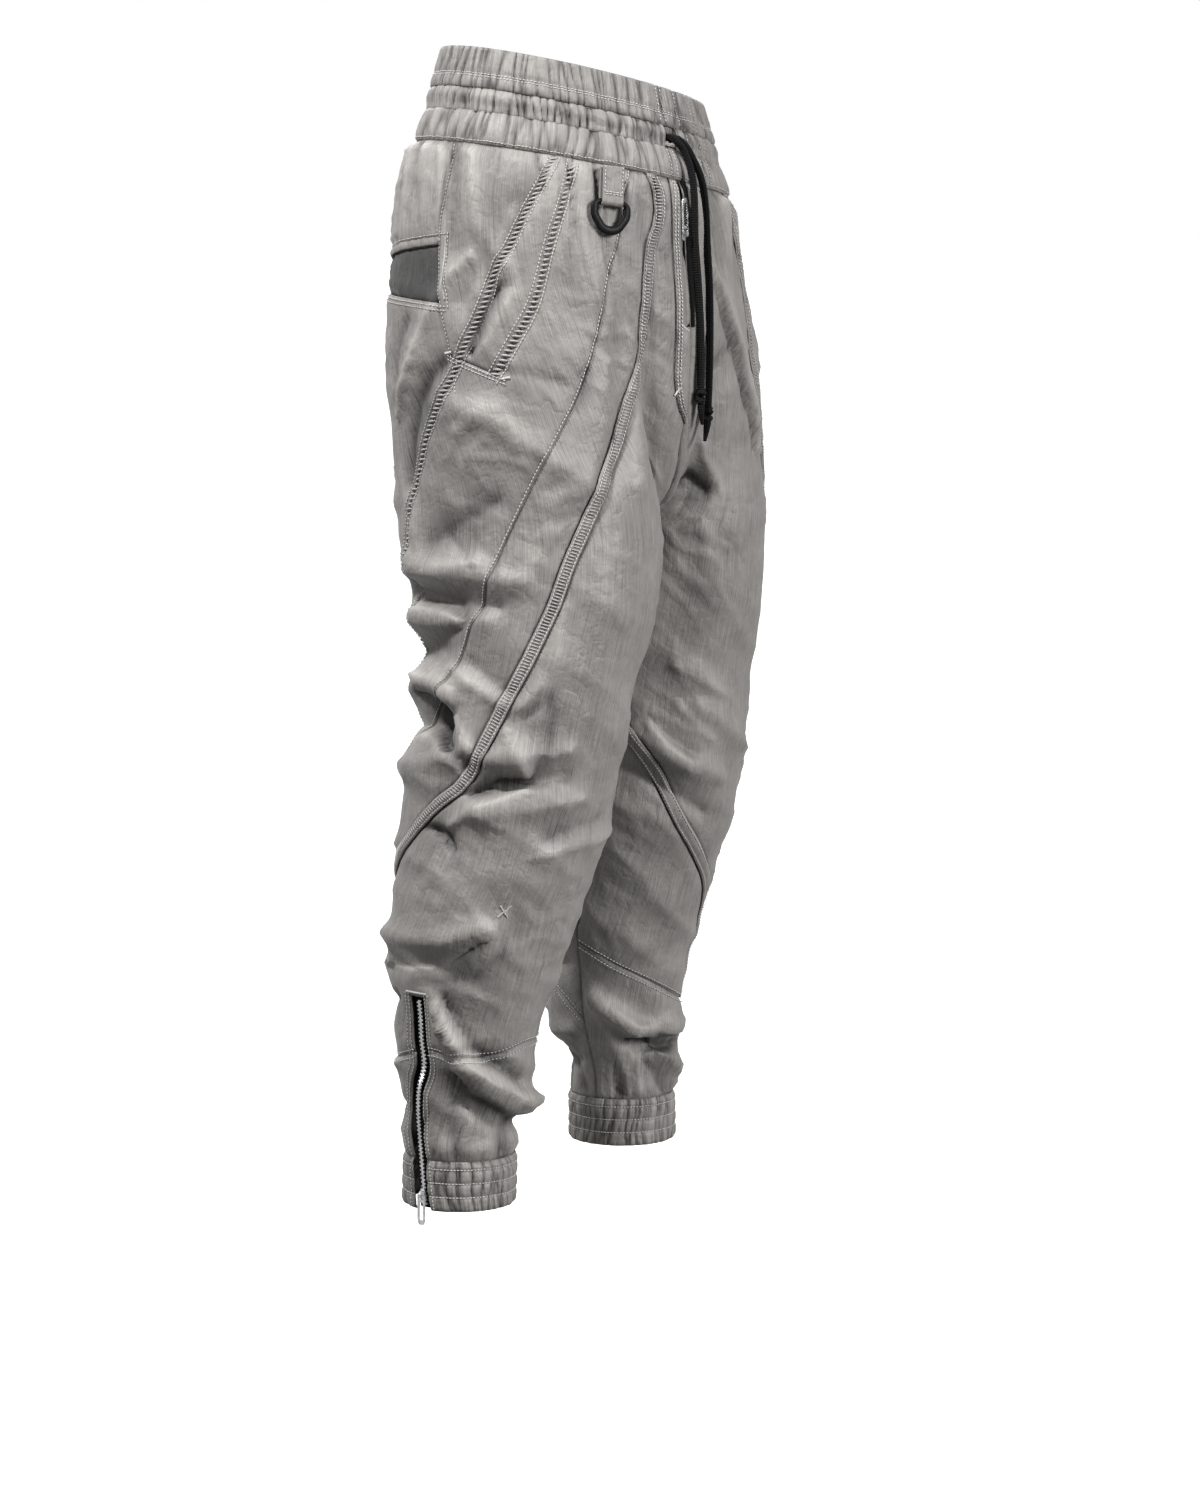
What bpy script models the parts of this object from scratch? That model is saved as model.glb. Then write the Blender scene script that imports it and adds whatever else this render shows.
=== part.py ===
# Grey cargo trousers, worn hollow form.  Metres, +Z up, front -Y, wearer's left +X.
# Origin at the centre of the waist opening.  Cloth is faceted shells, 0.3 mm apart at seams.
import bpy
import math
import numpy as np
from mathutils import Vector
from mathutils.geometry import delaunay_2d_cdt

for o in list(bpy.data.objects):
    bpy.data.objects.remove(o, do_unlink=True)

# ---- driving dimensions (m) ----
WALL = 0.0016            # cloth wall
GAP = 0.0004             # gap between neighbouring pieces
GRID = 0.0240            # facet size on the panels
WAIST_SEAM = -0.078      # height of the waist seam
CUFF_TOP = -0.915
CUFF_END = -0.957
CROTCH = -0.383          # lowest point of the crotch seam
FRONT_TILT = -0.013      # front of the waist dips
SIDE_TILT = 0.022        # right hip stands higher than the left
FRONT_TURN = 0.19        # centre front turned to the wearer's right, radians
LAP = 0.011              # width of the lapped seam bands
TAPE = 0.015             # width of ankle zip opening
RIGHT, LEFT = -1, 1

# ---- sections: height, half width, half depth, centre y ----
TORSO = (
    (0.040, .139, .100, -.008), (0.000, .140, .101, -.008), (-.025, .146, .106, -.008),
    (-.050, .152, .112, -.008), (-.075, .163, .121, -.008), (-.100, .174, .128, -.007),
    (-.140, .183, .133, -.005), (-.200, .190, .137, -.006), (-.260, .193, .132, -.010),
    (-.320, .192, .124, -.014), (-.420, .188, .118, -.018))
# ---- sections of a leg: height, centre x, centre y, half width, half depth ----
LEG = (
    (-.050, .0800, -.006, .0800, .118), (-.140, .0920, -.004, .0920, .131),
    (-.200, .0950, -.006, .0950, .134), (-.260, .0965, -.010, .0965, .128),
    (-.320, .0960, -.015, .0960, .118), (-.383, .0960, -.020, .0960, .114),
    (-.406, .0985, -.024, .0955, .111), (-.440, .1030, -.028, .0935, .106),
    (-.474, .1085, -.029, .0915, .099), (-.524, .1160, -.0256, .0895, .092),
    (-.575, .1210, -.020, .0880, .0905), (-.633, .1270, -.012, .0870, .0895),
    (-.660, .1300, -.008, .0845, .0860), (-.692, .1350, -.002, .0800, .0790),
    (-.726, .1375, .004, .0765, .0755), (-.755, .1400, .011, .0735, .0725),
    (-.790, .1425, .013, .0655, .0625), (-.8285, .1450, .015, .0590, .0575),
    (-.8605, .1475, .017, .0540, .0525), (-.898, .1500, .019, .0475, .0470),
    (-.960, .1520, .019, .0462, .0460))
LEFT_BACK = ((-.36, 0.0), (-.44, .008), (-.608, .0114), (-.755, .0166), (-.8285, .018),
             (-.90, .010), (-.96, .010))

# ---- folds: side (0 both), height mm (+ out), width mm, path of (u, v) ----
FOLDS = (
    (RIGHT, 8, 17, ((.62, -.405), (.52, -.412), (.44, -.418))),
    (RIGHT, -7, 15, ((.66, -.432), (.55, -.436), (.47, -.44))),
    (RIGHT, 6, 17, ((.66, -.457), (.55, -.452), (.49, -.45))),
    (RIGHT, -7, 20, ((.80, -.49), (.66, -.485), (.56, -.48))),
    (RIGHT, 8, 16, ((.68, -.515), (.58, -.515), (.54, -.512))),
    (RIGHT, -11, 16, ((.72, -.55), (.61, -.543), (.53, -.53))),
    (RIGHT, 8, 17, ((.70, -.582), (.58, -.575), (.50, -.56))),
    (RIGHT, -6, 12, ((.43, -.588), (.38, -.585), (.34, -.58))),
    (RIGHT, 6, 12, ((.46, -.565), (.40, -.562), (.34, -.56))),
    (RIGHT, 5, 14, ((.46, -.61), (.38, -.607), (.30, -.60))),
    (RIGHT, 9, 13, ((.68, -.725), (.58, -.722), (.48, -.72), (.42, -.71))),
    (RIGHT, -6, 12, ((.66, -.750), (.56, -.747), (.47, -.742), (.42, -.72))),
    (RIGHT, 7, 12, ((.475, -.778), (.462, -.795), (.445, -.817), (.40, -.845), (.30, -.868), (.20, -.874))),
    (RIGHT, -6, 11, ((.42, -.864), (.33, -.886), (.22, -.893), (.10, -.888))),
    (RIGHT, 8, 13, ((.24, -.862), (.16, -.872), (.08, -.872))),
    (RIGHT, 5, 18, ((.14, -.22), (.19, -.28), (.25, -.34))),
    (RIGHT, -4, 16, ((.20, -.22), (.24, -.27), (.30, -.33))),
    (RIGHT, -4, 16, ((.36, -.12), (.40, -.16), (.47, -.20))),
    (RIGHT, 4, 14, ((.46, -.10), (.43, -.14), (.38, -.17))),
    (RIGHT, 4, 18, ((.52, -.27), (.42, -.30), (.34, -.34))),
    (LEFT, 8, 14, ((.06, -.565), (.13, -.59), (.22, -.612))),
    (LEFT, -6, 12, ((.04, -.60), (.12, -.62), (.20, -.645))),
    (LEFT, 6, 13, ((.16, -.545), (.22, -.565), (.30, -.59))),
    (LEFT, 7, 12, ((.03, -.815), (.12, -.842), (.20, -.868), (.30, -.892))),
    (LEFT, -7, 11, ((.14, -.868), (.21, -.86), (.28, -.858))),
    (LEFT, 7, 12, ((.22, -.845), (.28, -.845), (.34, -.85))),
    (LEFT, -8, 26, ((.02, -.33), (.05, -.36), (.08, -.40))),
    (LEFT, -5, 16, ((.10, -.24), (.08, -.30), (.10, -.36))),
    (LEFT, 5, 18, ((.15, -.26), (.14, -.33), (.16, -.41))),
    (LEFT, 7, 17, ((.66, -.43), (.55, -.425), (.46, -.43))),
    (LEFT, -7, 16, ((.70, -.47), (.58, -.46), (.48, -.465))),
    (LEFT, 7, 17, ((.72, -.50), (.60, -.498), (.50, -.49))),
    (LEFT, -9, 16, ((.74, -.545), (.62, -.54), (.52, -.53))),
    (LEFT, 8, 15, ((.72, -.575), (.60, -.572), (.50, -.565))),
    (LEFT, 7, 13, ((.70, -.735), (.58, -.73), (.46, -.728))),
    (LEFT, -6, 12, ((.68, -.760), (.58, -.758), (.48, -.752))),
    (0, -7, 13, ((.98, -.50), (.88, -.49), (.76, -.50))),
    (0, 7, 14, ((.98, -.53), (.88, -.525), (.78, -.53))),
    (0, -6, 13, ((.99, -.60), (.90, -.59), (.80, -.60))),
    (0, 6, 14, ((.96, -.69), (.86, -.70), (.76, -.695))),
    (0, -6, 13, ((.97, -.79), (.86, -.79), (.74, -.785))),
    (0, 6, 13, ((.97, -.850), (.86, -.856), (.72, -.850))),
    (0, -5, 12, ((.95, -.880), (.85, -.884), (.70, -.880))),
    (0, -4, 18, ((.95, -.30), (.88, -.36), (.78, -.40))),
    (0, 4, 18, ((.85, -.27), (.76, -.33), (.66, -.36))))

# ---- seams, rows of (u, v); u runs front edge - outside - back edge, v is the height ----
SEAMS = {
    RIGHT: {
        "A": ((.062, -.078), (.050, -.092), (.048, -.105), (.053, -.122), (.068, -.136),
              (.077, -.156), (.085, -.183), (.108, -.228), (.158, -.256), (.217, -.283),
              (.260, -.308), (.310, -.338), (.345, -.370), (.370, -.400), (.395, -.446),
              (.425, -.500), (.453, -.544), (.485, -.589), (.532, -.612), (.610, -.653),
              (.75, -.700), (.88, -.730), (1.0, -.748)),
        "B": ((.122, -.078), (.139, -.104), (.146, -.134), (.170, -.161), (.200, -.190),
              (.238, -.220), (.297, -.257), (.352, -.291), (.410, -.334), (.455, -.384),
              (.500, -.447), (.545, -.507), (.625, -.553), (.75, -.600), (.88, -.630),
              (1.0, -.645)),
        "calf": ((0, -.822), (.15, -.816), (.262, -.814), (.366, -.822), (.489, -.817),
                 (.655, -.830), (.85, -.826), (1, -.822))},
    LEFT: {
        "A": ((.165, -.078), (.175, -.100), (.183, -.122), (.197, -.155), (.207, -.184),
              (.225, -.228), (.270, -.282), (.290, -.308), (.315, -.338), (.344, -.370),
              (.364, -.400), (.390, -.445), (.424, -.500), (.452, -.544), (.484, -.589),
              (.532, -.613), (.611, -.654), (.75, -.700), (.88, -.730), (1.0, -.748)),
        "B": ((.235, -.078), (.245, -.104), (.250, -.134), (.262, -.161), (.278, -.190),
              (.300, -.219), (.335, -.257), (.365, -.291), (.410, -.333), (.453, -.384),
              (.504, -.447), (.545, -.507), (.625, -.553), (.75, -.600), (.88, -.630),
              (1.0, -.645)),
        "calf": ((0, -.765), (.117, -.793), (.330, -.828), (.5, -.835), (.75, -.805),
                 (.908, -.811), (1, -.838)),
        "shin": ((0, -.545), (.054, -.575), (.095, -.607), (.148, -.654), (.210, -.690),
                 (.267, -.720), (.310, -.754), (.326, -.787), (.330, -.828))}}
POCKET_FRONT = ((.247, -.078), (.263, -.117), (.300, -.162), (.338, -.195), (.393, -.228),
                (.438, -.256))
POCKET_REAR = ((.283, -.078), (.315, -.111), (.355, -.148), (.398, -.175), (.425, -.197),
               (.480, -.238), (.515, -.268), (.557, -.301), (.590, -.345), (.620, -.400),
               (.660, -.480), (.71, -.590))
POCKET_BAR = ((.418, -.2555), (.505, -.2385))
SIDE_SEAM = ((.530, -.078), (.519, -.115), (.520, -.154), (.515, -.200), (.505, -.235),
             (.500, -.262))
ZIP_LINE = ((.530, -.771), (.530, -.806), (.523, -.830), (.545, -.856), (.552, -.883),
            (.542, -.915), (.526, -.957))
WELT_TOP, WELT_END, WELT_PIPE = ((.500, -.152), (.806, -.168)), .800, .006
WELT_LOW = ((.500, -.2025), (.806, -.196))
FACING = ((.031, -.078), (.032, -.200), (.031, -.245), (.022, -.272), (0, -.290))
FLY = (.011, -.205)                     # fly zip: width in u, lower end


def smooth(x, table, col):
    """Monotone cubic through one column of a table whose first column falls."""
    t = np.array(table, float)
    xs, ys = t[::-1, 0], t[::-1, col]
    x = np.clip(np.asarray(x, float), xs[0], xs[-1])
    d = np.diff(ys) / np.diff(xs)
    m = np.empty_like(ys)
    m[0], m[-1] = d[0], d[-1]
    same = d[:-1] * d[1:] > 0
    m[1:-1] = np.where(same, 2 * d[:-1] * d[1:] / np.where(same, d[:-1] + d[1:], 1), 0)
    i = np.clip(np.searchsorted(xs, x) - 1, 0, len(xs) - 2)
    h = xs[i + 1] - xs[i]
    s = (x - xs[i]) / h
    return (ys[i] * (1 + 2 * s) * (1 - s) ** 2 + m[i] * h * s * (1 - s) ** 2
            + ys[i + 1] * s * s * (3 - 2 * s) + m[i + 1] * h * s * s * (s - 1))


def ease(x):
    x = np.clip(x, 0, 1)
    return x * x * (3 - 2 * x)


def around(v):
    """Length of cloth from u=0 to u=1 at height v."""
    a = smooth(v, LEG, 3)
    b = smooth(v, LEG, 4)
    ring = 2 * math.pi * np.sqrt((a * a + b * b) / 2)
    half = math.pi * np.sqrt((smooth(v, TORSO, 1) ** 2 + smooth(v, TORSO, 2) ** 2) / 2)
    return half + (ring - half) * ease((-.20 - v) / .18)


def form(side, u, v):
    """Smooth garment: half a torso ring above the crotch, a whole leg ring below."""
    turn = FRONT_TURN * ease((v + .383) / .09) * -side
    t = turn * (1 - u) + math.pi * u
    a = 2 * math.pi * u - math.pi / 2
    tx = smooth(v, TORSO, 1) * np.sin(t)
    ty = smooth(v, TORSO, 3) - smooth(v, TORSO, 2) * np.cos(t)
    back = smooth(v, LEFT_BACK, 1) if side > 0 else 0.0
    lx = smooth(v, LEG, 1) + smooth(v, LEG, 3) * np.sin(a)
    ly = smooth(v, LEG, 2) - smooth(v, LEG, 4) * np.cos(a) + back
    mid = np.where(v <= CROTCH, 1, ease((-.12 - v) / .28))
    top = np.where(u < .5, -.265, -.20)
    rise = 1 - np.sqrt(np.maximum(1 - np.clip((top - v) / (top - CROTCH), 0, 1) ** 2.2, 0))
    near = np.where(v <= CROTCH, 0, np.exp(-(np.minimum(u, 1 - u) / .13) ** 2))
    w = mid + (rise - mid) * near
    fade = ease((v + .36) / .28)
    z = v + fade * (FRONT_TILT * np.cos(t) - side * SIDE_TILT * np.sin(t))
    return np.stack([side * (tx + (lx - tx) * w), ty + (ly - ty) * w, z], -1)


def folds(side, u, v):
    h = np.zeros(np.broadcast(u, v).shape)
    scale = around(v)
    for which, high, wide, path in FOLDS:
        if which not in (0, side):
            continue
        best = np.full(h.shape, 9.0)
        n = len(path) - 1
        for k in range(n):
            (u0, v0), (u1, v1) = path[k], path[k + 1]
            ax, ay = (u - u0) * scale, v - v0
            bx, by = (u1 - u0) * scale, v1 - v0
            s = np.clip((ax * bx + ay * by) / (bx * bx + by * by), 0, 1)
            taper = 1 + .7 * np.abs((k + s) / n * 2 - 1) ** 3
            best = np.minimum(best, np.hypot(ax - s * bx, ay - s * by) * taper)
        h += high * .001 * np.exp(-(best / (wide * .001)) ** 2)
    edge = ease((WAIST_SEAM - .004 - v) / .03) * ease((v - CUFF_TOP - .002) / .02)
    seam = ease(np.minimum(u, 1 - u) / .05)
    return h * edge * seam


def normal(fn, side, u, v):
    e = .002
    ring = v < CROTCH
    more = np.where(ring, (u + e) % 1.0, np.minimum(u + e, 1))
    less = np.where(ring, (u - e) % 1.0, np.maximum(u - e, 0))
    du = fn(side, more, v) - fn(side, less, v)
    dv = fn(side, u, v + e * .5) - fn(side, u, v - e * .5)
    n = np.cross(du, dv) * side
    return n / np.linalg.norm(n, axis=-1, keepdims=True)


def draped(side, u, v):
    return form(side, u, v) + normal(form, side, u, v) * folds(side, u, v)[..., None]


def cloth(side, u, v, out=0.0):
    """Point on the outer face of the cloth, moved out along its normal."""
    u = np.asarray(u, float)
    v = np.asarray(v, float)
    n = normal(draped, side, u, v)
    return draped(side, u, v) + n * np.asarray(out)[..., None], n


# ---- net of seams: curves cut at their crossings, then resampled to the grid ----
def line(table, over=.007):
    """Smooth curve through a table of (u, v), run on past both ends, 3 mm steps."""
    p = np.array(table, float)
    w = np.array((.5, 1))
    for end, nxt in ((0, 1), (-1, -2)):
        d = (p[end] - p[nxt]) * w
        ext = p[end] + (p[end] - p[nxt]) * over / np.linalg.norm(d)
        p = np.vstack((ext, p)) if end == 0 else np.vstack((p, ext))
    s = np.r_[0, np.cumsum(np.linalg.norm(np.diff(p, axis=0) * w, axis=1))]
    q = np.linspace(0, s[-1], int(s[-1] / .003) + 2)
    rows = np.c_[-s, p]
    return np.c_[smooth(-q, rows, 1), smooth(-q, rows, 2)]


def beside(p, dist):
    """Curve beside another, dist metres to its upper side."""
    scale = around(p[:, 1])
    d = np.gradient(p, axis=0) * np.c_[scale, np.ones(len(p))]
    d /= np.linalg.norm(d, axis=1, keepdims=True)
    return p + np.c_[-d[:, 1] / scale, d[:, 0]] * dist


def crossings(p, q):
    a, b = p[:-1, None], p[1:, None] - p[:-1, None]
    c, d = q[None, :-1], q[None, 1:] - q[None, :-1]
    det = b[..., 0] * d[..., 1] - b[..., 1] * d[..., 0]
    det = np.where(abs(det) < 1e-12, 1e-12, det)
    e = c - a
    s = (e[..., 0] * d[..., 1] - e[..., 1] * d[..., 0]) / det
    t = (e[..., 0] * b[..., 1] - e[..., 1] * b[..., 0]) / det
    i, j = np.nonzero((s >= 0) & (s < 1) & (t >= 0) & (t < 1))
    return [(m + s[m, n], n + t[m, n], p[m] + s[m, n] * (p[m + 1] - p[m])) for m, n in zip(i, j)]


def at(p, k):
    i = min(int(k), len(p) - 2)
    return p[i] + (k - i) * (p[i + 1] - p[i])


CROTCH_ROWS = (.0300, .0140, .0060, .0020, .0006, 0)      # heights above the crotch point


def net(curves, grid, shared):
    """Cut every curve at its crossings, drop the run-on ends, resample."""
    names = list(curves)
    cuts = {n: [] for n in names}
    for n, u in (("front", 0.0), ("back", 1.0)):
        v0, v1 = curves[n][:, 1]
        cuts[n] = [((v0 - v) / (v0 - v1), np.array((u, v))) for v in shared]
    for i, m in enumerate(names):
        for n in names[i + 1:]:
            for s, t, pt in crossings(curves[m], curves[n]):
                for name, k in ((m, s), (n, t)):
                    if not shared or name not in ("front", "back"):
                        cuts[name].append((k, pt))
    out = {}
    for n in names:
        c = sorted(cuts[n], key=lambda r: r[0])
        pts = [c[0][1]]
        for (s0, p0), (s1, p1) in zip(c, c[1:]):
            sub = curves[n][int(s0) + 1:int(s1) + 1]
            sub = np.vstack((p0, sub, p1))
            w = np.c_[around(sub[:, 1]), np.ones(len(sub))]
            run = np.r_[0, np.cumsum(np.linalg.norm(np.diff(sub, axis=0) * w[1:], axis=1))]
            if run[-1] < .0004:
                continue
            k = max(1, int(round(run[-1] / grid)))
            q = np.linspace(0, run[-1], k + 1)[1:]
            pts += list(np.c_[np.interp(q, run, sub[:, 0]), np.interp(q, run, sub[:, 1])])
            pts[-1] = p1
        out[n] = np.array(pts)
    return out


def seam_curves(side):
    top, low = WAIST_SEAM, CUFF_TOP
    c = {"top": np.array(((-.02, top), (1.02, top))), "low": np.array(((-.02, low), (1.02, low))),
         "front": np.array(((0, top + .02), (0, low - .02))),
         "back": np.array(((1, top + .02), (1, low - .02)))}
    c["A"] = line(SEAMS[side]["A"], .02)
    c["lap"] = beside(c["A"], LAP)
    c["B"] = line(SEAMS[side]["B"])
    c["calf"] = line(SEAMS[side]["calf"])
    c["pf"] = line(POCKET_FRONT, .004)
    c["pr"] = line(POCKET_REAR)
    c["bar"] = line(POCKET_BAR, .001)
    c["side"] = line(SIDE_SEAM)
    c["w1"] = np.array(WELT_TOP)
    c["w2"] = c["w1"] - (0, WELT_PIPE)
    c["w3"] = np.array(WELT_LOW)
    c["w4"] = np.array(((WELT_END, -.150), (WELT_END, -.210)))
    z = line(ZIP_LINE, .004)
    c["z1"], c["z2"] = beside(z, -TAPE / 2), beside(z, TAPE / 2)
    c["z0"] = np.array(((.49, ZIP_LINE[0][1]), (.57, ZIP_LINE[0][1])))
    if side == LEFT:
        c["shin"] = line(SEAMS[side]["shin"])
        c["shinlap"] = beside(line(SEAMS[side]["shin"], .02), LAP)
    else:
        c["facing"] = line(FACING)
        c["f1"] = np.array(((FLY[0], top + .006), (FLY[0], FLY[1] - .004)))
        c["f2"] = np.array(((-.01, FLY[1]), (FLY[0] + .006, FLY[1])))
    return c


def edge_rows():
    """Heights where any seam meets a leg's front or back edge, the same for all four edges."""
    rows = [CROTCH + h for h in CROTCH_ROWS]
    for side in (RIGHT, LEFT):
        c = seam_curves(side)
        for n in c:
            if n not in ("front", "back"):
                for edge in ("front", "back"):
                    rows += [float(pt[1]) for _, _, pt in crossings(c[n], c[edge])]
    return sorted({round(r, 7) for r in rows}, reverse=True)


def piece_of(side, c, u, v):
    """Name of the piece at each (u, v)."""
    def right_of(key):
        p = c[key][np.argsort(c[key][:, 1])]
        return u > np.interp(v, p[:, 1], p[:, 0])

    def below(key):
        p = c[key][np.argsort(c[key][:, 0])]
        return v < np.interp(u, p[:, 0], p[:, 1])
    name = np.full(u.shape, "front_panel", dtype="<U20")
    name[right_of("A")] = "lapped_band"
    past = right_of("lap") & (v > c["lap"][:, 1].min())
    name[past] = "spiral_panel"
    name[past & right_of("B") & (v > c["B"][:, 1].min())] = "side_front_panel"
    rear = right_of("pr") & right_of("B") & (v > c["B"][:, 1].min())
    name[rear] = "back_panel"
    name[right_of("pr") & ~right_of("side") & (v > c["side"][:, 1].min())] = "side_back_panel"
    name[right_of("pf") & ~right_of("pr") & ~below("bar") & (v > -.26)] = "pocket_strip"
    welt = rear & right_of("side") & (u < WELT_END)
    name[welt & below("w1") & ~below("w2")] = "welt_piping"
    name[welt & below("w2") & ~below("w3")] = "welt_patch"
    if side == LEFT:
        low = v < -.54
        name[low & ~right_of("shinlap") & (name == "front_panel")] = "shin_band"
        name[low & ~right_of("shin") & ((name == "front_panel") | (name == "shin_band"))] = "shin_panel"
    else:
        name[~right_of("facing") & (v > c["facing"][:, 1].min())] = "fly_facing"
        name[(u < FLY[0]) & (v > FLY[1])] = "fly_zip"
    name[below("calf")] = np.where(u[below("calf")] < .53, "calf_front_panel", "calf_back_panel")
    slot = (v < ZIP_LINE[0][1]) & right_of("z1") & ~right_of("z2")
    name[slot] = ""
    return name


def panels(side, grid):
    """One triangulation of a leg, shared by all its pieces: points and triangles by name."""
    c = net(seam_curves(side), grid, edge_rows())
    seams, edges, index = [], [], {}
    for p in c.values():
        last = None
        for q in p:
            key = (round(q[0], 6), round(q[1], 6))
            if key not in index:
                index[key] = len(seams)
                seams.append(q)
            if last is not None and last != index[key]:
                edges.append((last, index[key]))
            last = index[key]
    pts = list(seams)
    known = np.array(seams)
    fine = np.vstack([np.linspace(seams[a], seams[b], 5) for a, b in edges])
    n = int((WAIST_SEAM - CUFF_TOP) / (grid * .88))
    for r in range(1, n):
        v = WAIST_SEAM + (CUFF_TOP - WAIST_SEAM) * r / n
        m = max(4, int(float(around(v)) / grid))
        for k in range(m):
            u = (k + .5 * (r % 2) + .25) / m
            d = np.hypot((fine[:, 0] - u) * float(around(v)), fine[:, 1] - v).min()
            if 0 < u < 1 and d > grid * .42:
                pts.append(np.array((u, v)))
    for h in CROTCH_ROWS:
        pts += [np.array((abs(e - u), CROTCH + h)) for e in (0, 1) for u in (.022, .055, .095)]
    flat = [Vector((p[0] * .5, p[1])) for p in pts]
    vs, _, tris, _, _, _ = delaunay_2d_cdt(flat, edges, [], 0, 1e-6)
    uv = np.array([(q[0] / .5, q[1]) for q in vs])
    tri = np.array([t for t in tris])
    mid = uv[tri].mean(axis=1)
    inside = (mid[:, 0] > 0) & (mid[:, 0] < 1) & (mid[:, 1] < WAIST_SEAM) & (mid[:, 1] > CUFF_TOP)
    names = piece_of(side, c, mid[:, 0], mid[:, 1])
    names[~inside] = ""
    return uv, tri, names


# ---- bodies ----
GREY = (.262, .250, .238)
DARK = (.075, .073, .072)
BLACK = (.008, .008, .009)
STEEL = (.62, .62, .63)
paints = {}


def paint(name, colour, metal, rough):
    if name not in paints:
        m = bpy.data.materials.new(name)
        m.use_nodes = True
        b = m.node_tree.nodes["Principled BSDF"]
        b.inputs["Base Color"].default_value = (*colour, 1)
        b.inputs["Metallic"].default_value = metal
        b.inputs["Roughness"].default_value = rough
        paints[name] = m
    return paints[name]


def body(name, verts, faces, mat, origin=(0, 0, 0)):
    mesh = bpy.data.meshes.new(name)
    mesh.from_pydata([tuple(np.array(p) - origin) for p in verts], [], faces)
    mesh.validate()
    mesh.materials.append(mat)
    ob = bpy.data.objects.new(name, mesh)
    ob.location = origin
    bpy.context.scene.collection.objects.link(ob)
    return ob


def shell(name, side, uv, tri, out, wall, mat, origin=(0, 0, 0)):
    """Closed cloth body on the given triangles, its rim drawn in by half a gap."""
    used, inv = np.unique(tri, return_inverse=True)
    t = inv.reshape(tri.shape)
    uv = uv[used]
    p, n = cloth(side, uv[:, 0], uv[:, 1], np.full(len(uv), out))
    a, b = uv[t[:, 1]] - uv[t[:, 0]], uv[t[:, 2]] - uv[t[:, 0]]
    flip = (a[:, 0] * b[:, 1] - a[:, 1] * b[:, 0]) * side < 0
    t[flip] = t[flip][:, ::-1]
    f = np.cross(p[t[:, 1]] - p[t[:, 0]], p[t[:, 2]] - p[t[:, 0]])
    f /= np.linalg.norm(f, axis=1, keepdims=True)
    own = {(a, b): k for k, r in enumerate(t) for a, b in ((r[0], r[1]), (r[1], r[2]), (r[2], r[0]))}
    rim = [(a, b, k) for (a, b), k in own.items() if (b, a) not in own]
    move = {}
    for a, b, k in rim:
        d = np.cross(f[k], p[b] - p[a])
        d /= np.linalg.norm(d)
        move.setdefault(a, []).append(d)
        move.setdefault(b, []).append(d)
    shift = np.zeros_like(p)
    for a, ds in move.items():
        s = ds[0] + ds[-1]
        shift[a] = s / max(.35, 1 + float(ds[0] @ ds[-1])) * GAP / 2
    p = p + shift
    q = p - n * wall
    m = len(p)
    faces = [tuple(r) for r in t] + [(r[2] + m, r[1] + m, r[0] + m) for r in t]
    for a, b, _ in rim:      # neighbours split the wall on the same diagonal
        if (uv[b][1], uv[b][0]) > (uv[a][1], uv[a][0]):
            faces += [(b, a, a + m), (b, a + m, b + m)]
        else:
            faces += [(b, a, b + m), (a, a + m, b + m)]
    return body(name, np.vstack((p, q)), faces, mat, origin)


# ---- cloth panels of both legs ----
OUT = {"lapped_band": .0013, "shin_band": .0013, "fly_facing": .0010, "welt_piping": .0012,
       "welt_patch": -.0010, "pocket_strip": .0005, "fly_zip": -.0008}
cotton = paint("grey cotton", GREY, 0, .62)
pocketing = paint("dark pocket cloth", DARK, 0, .8)
webbing = paint("black webbing", BLACK, 0, .75)
silver = paint("silver zip metal", STEEL, 1, .3)
lacquer = paint("black lacquered ring", BLACK, 0, .3)

nets = {RIGHT: panels(RIGHT, GRID), LEFT: panels(LEFT, GRID)}
for side, word in ((RIGHT, "right"), (LEFT, "left")):
    uv, tri, names = nets[side]
    for n in sorted(set(names) - {""}):
        mat = pocketing if n == "welt_patch" else silver if n == "fly_zip" else cotton
        shell(f"{word}_{n}" if not n.startswith("fly") else n, side, uv, tri[names == n],
              OUT.get(n, 0.0), WALL, mat)


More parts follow.
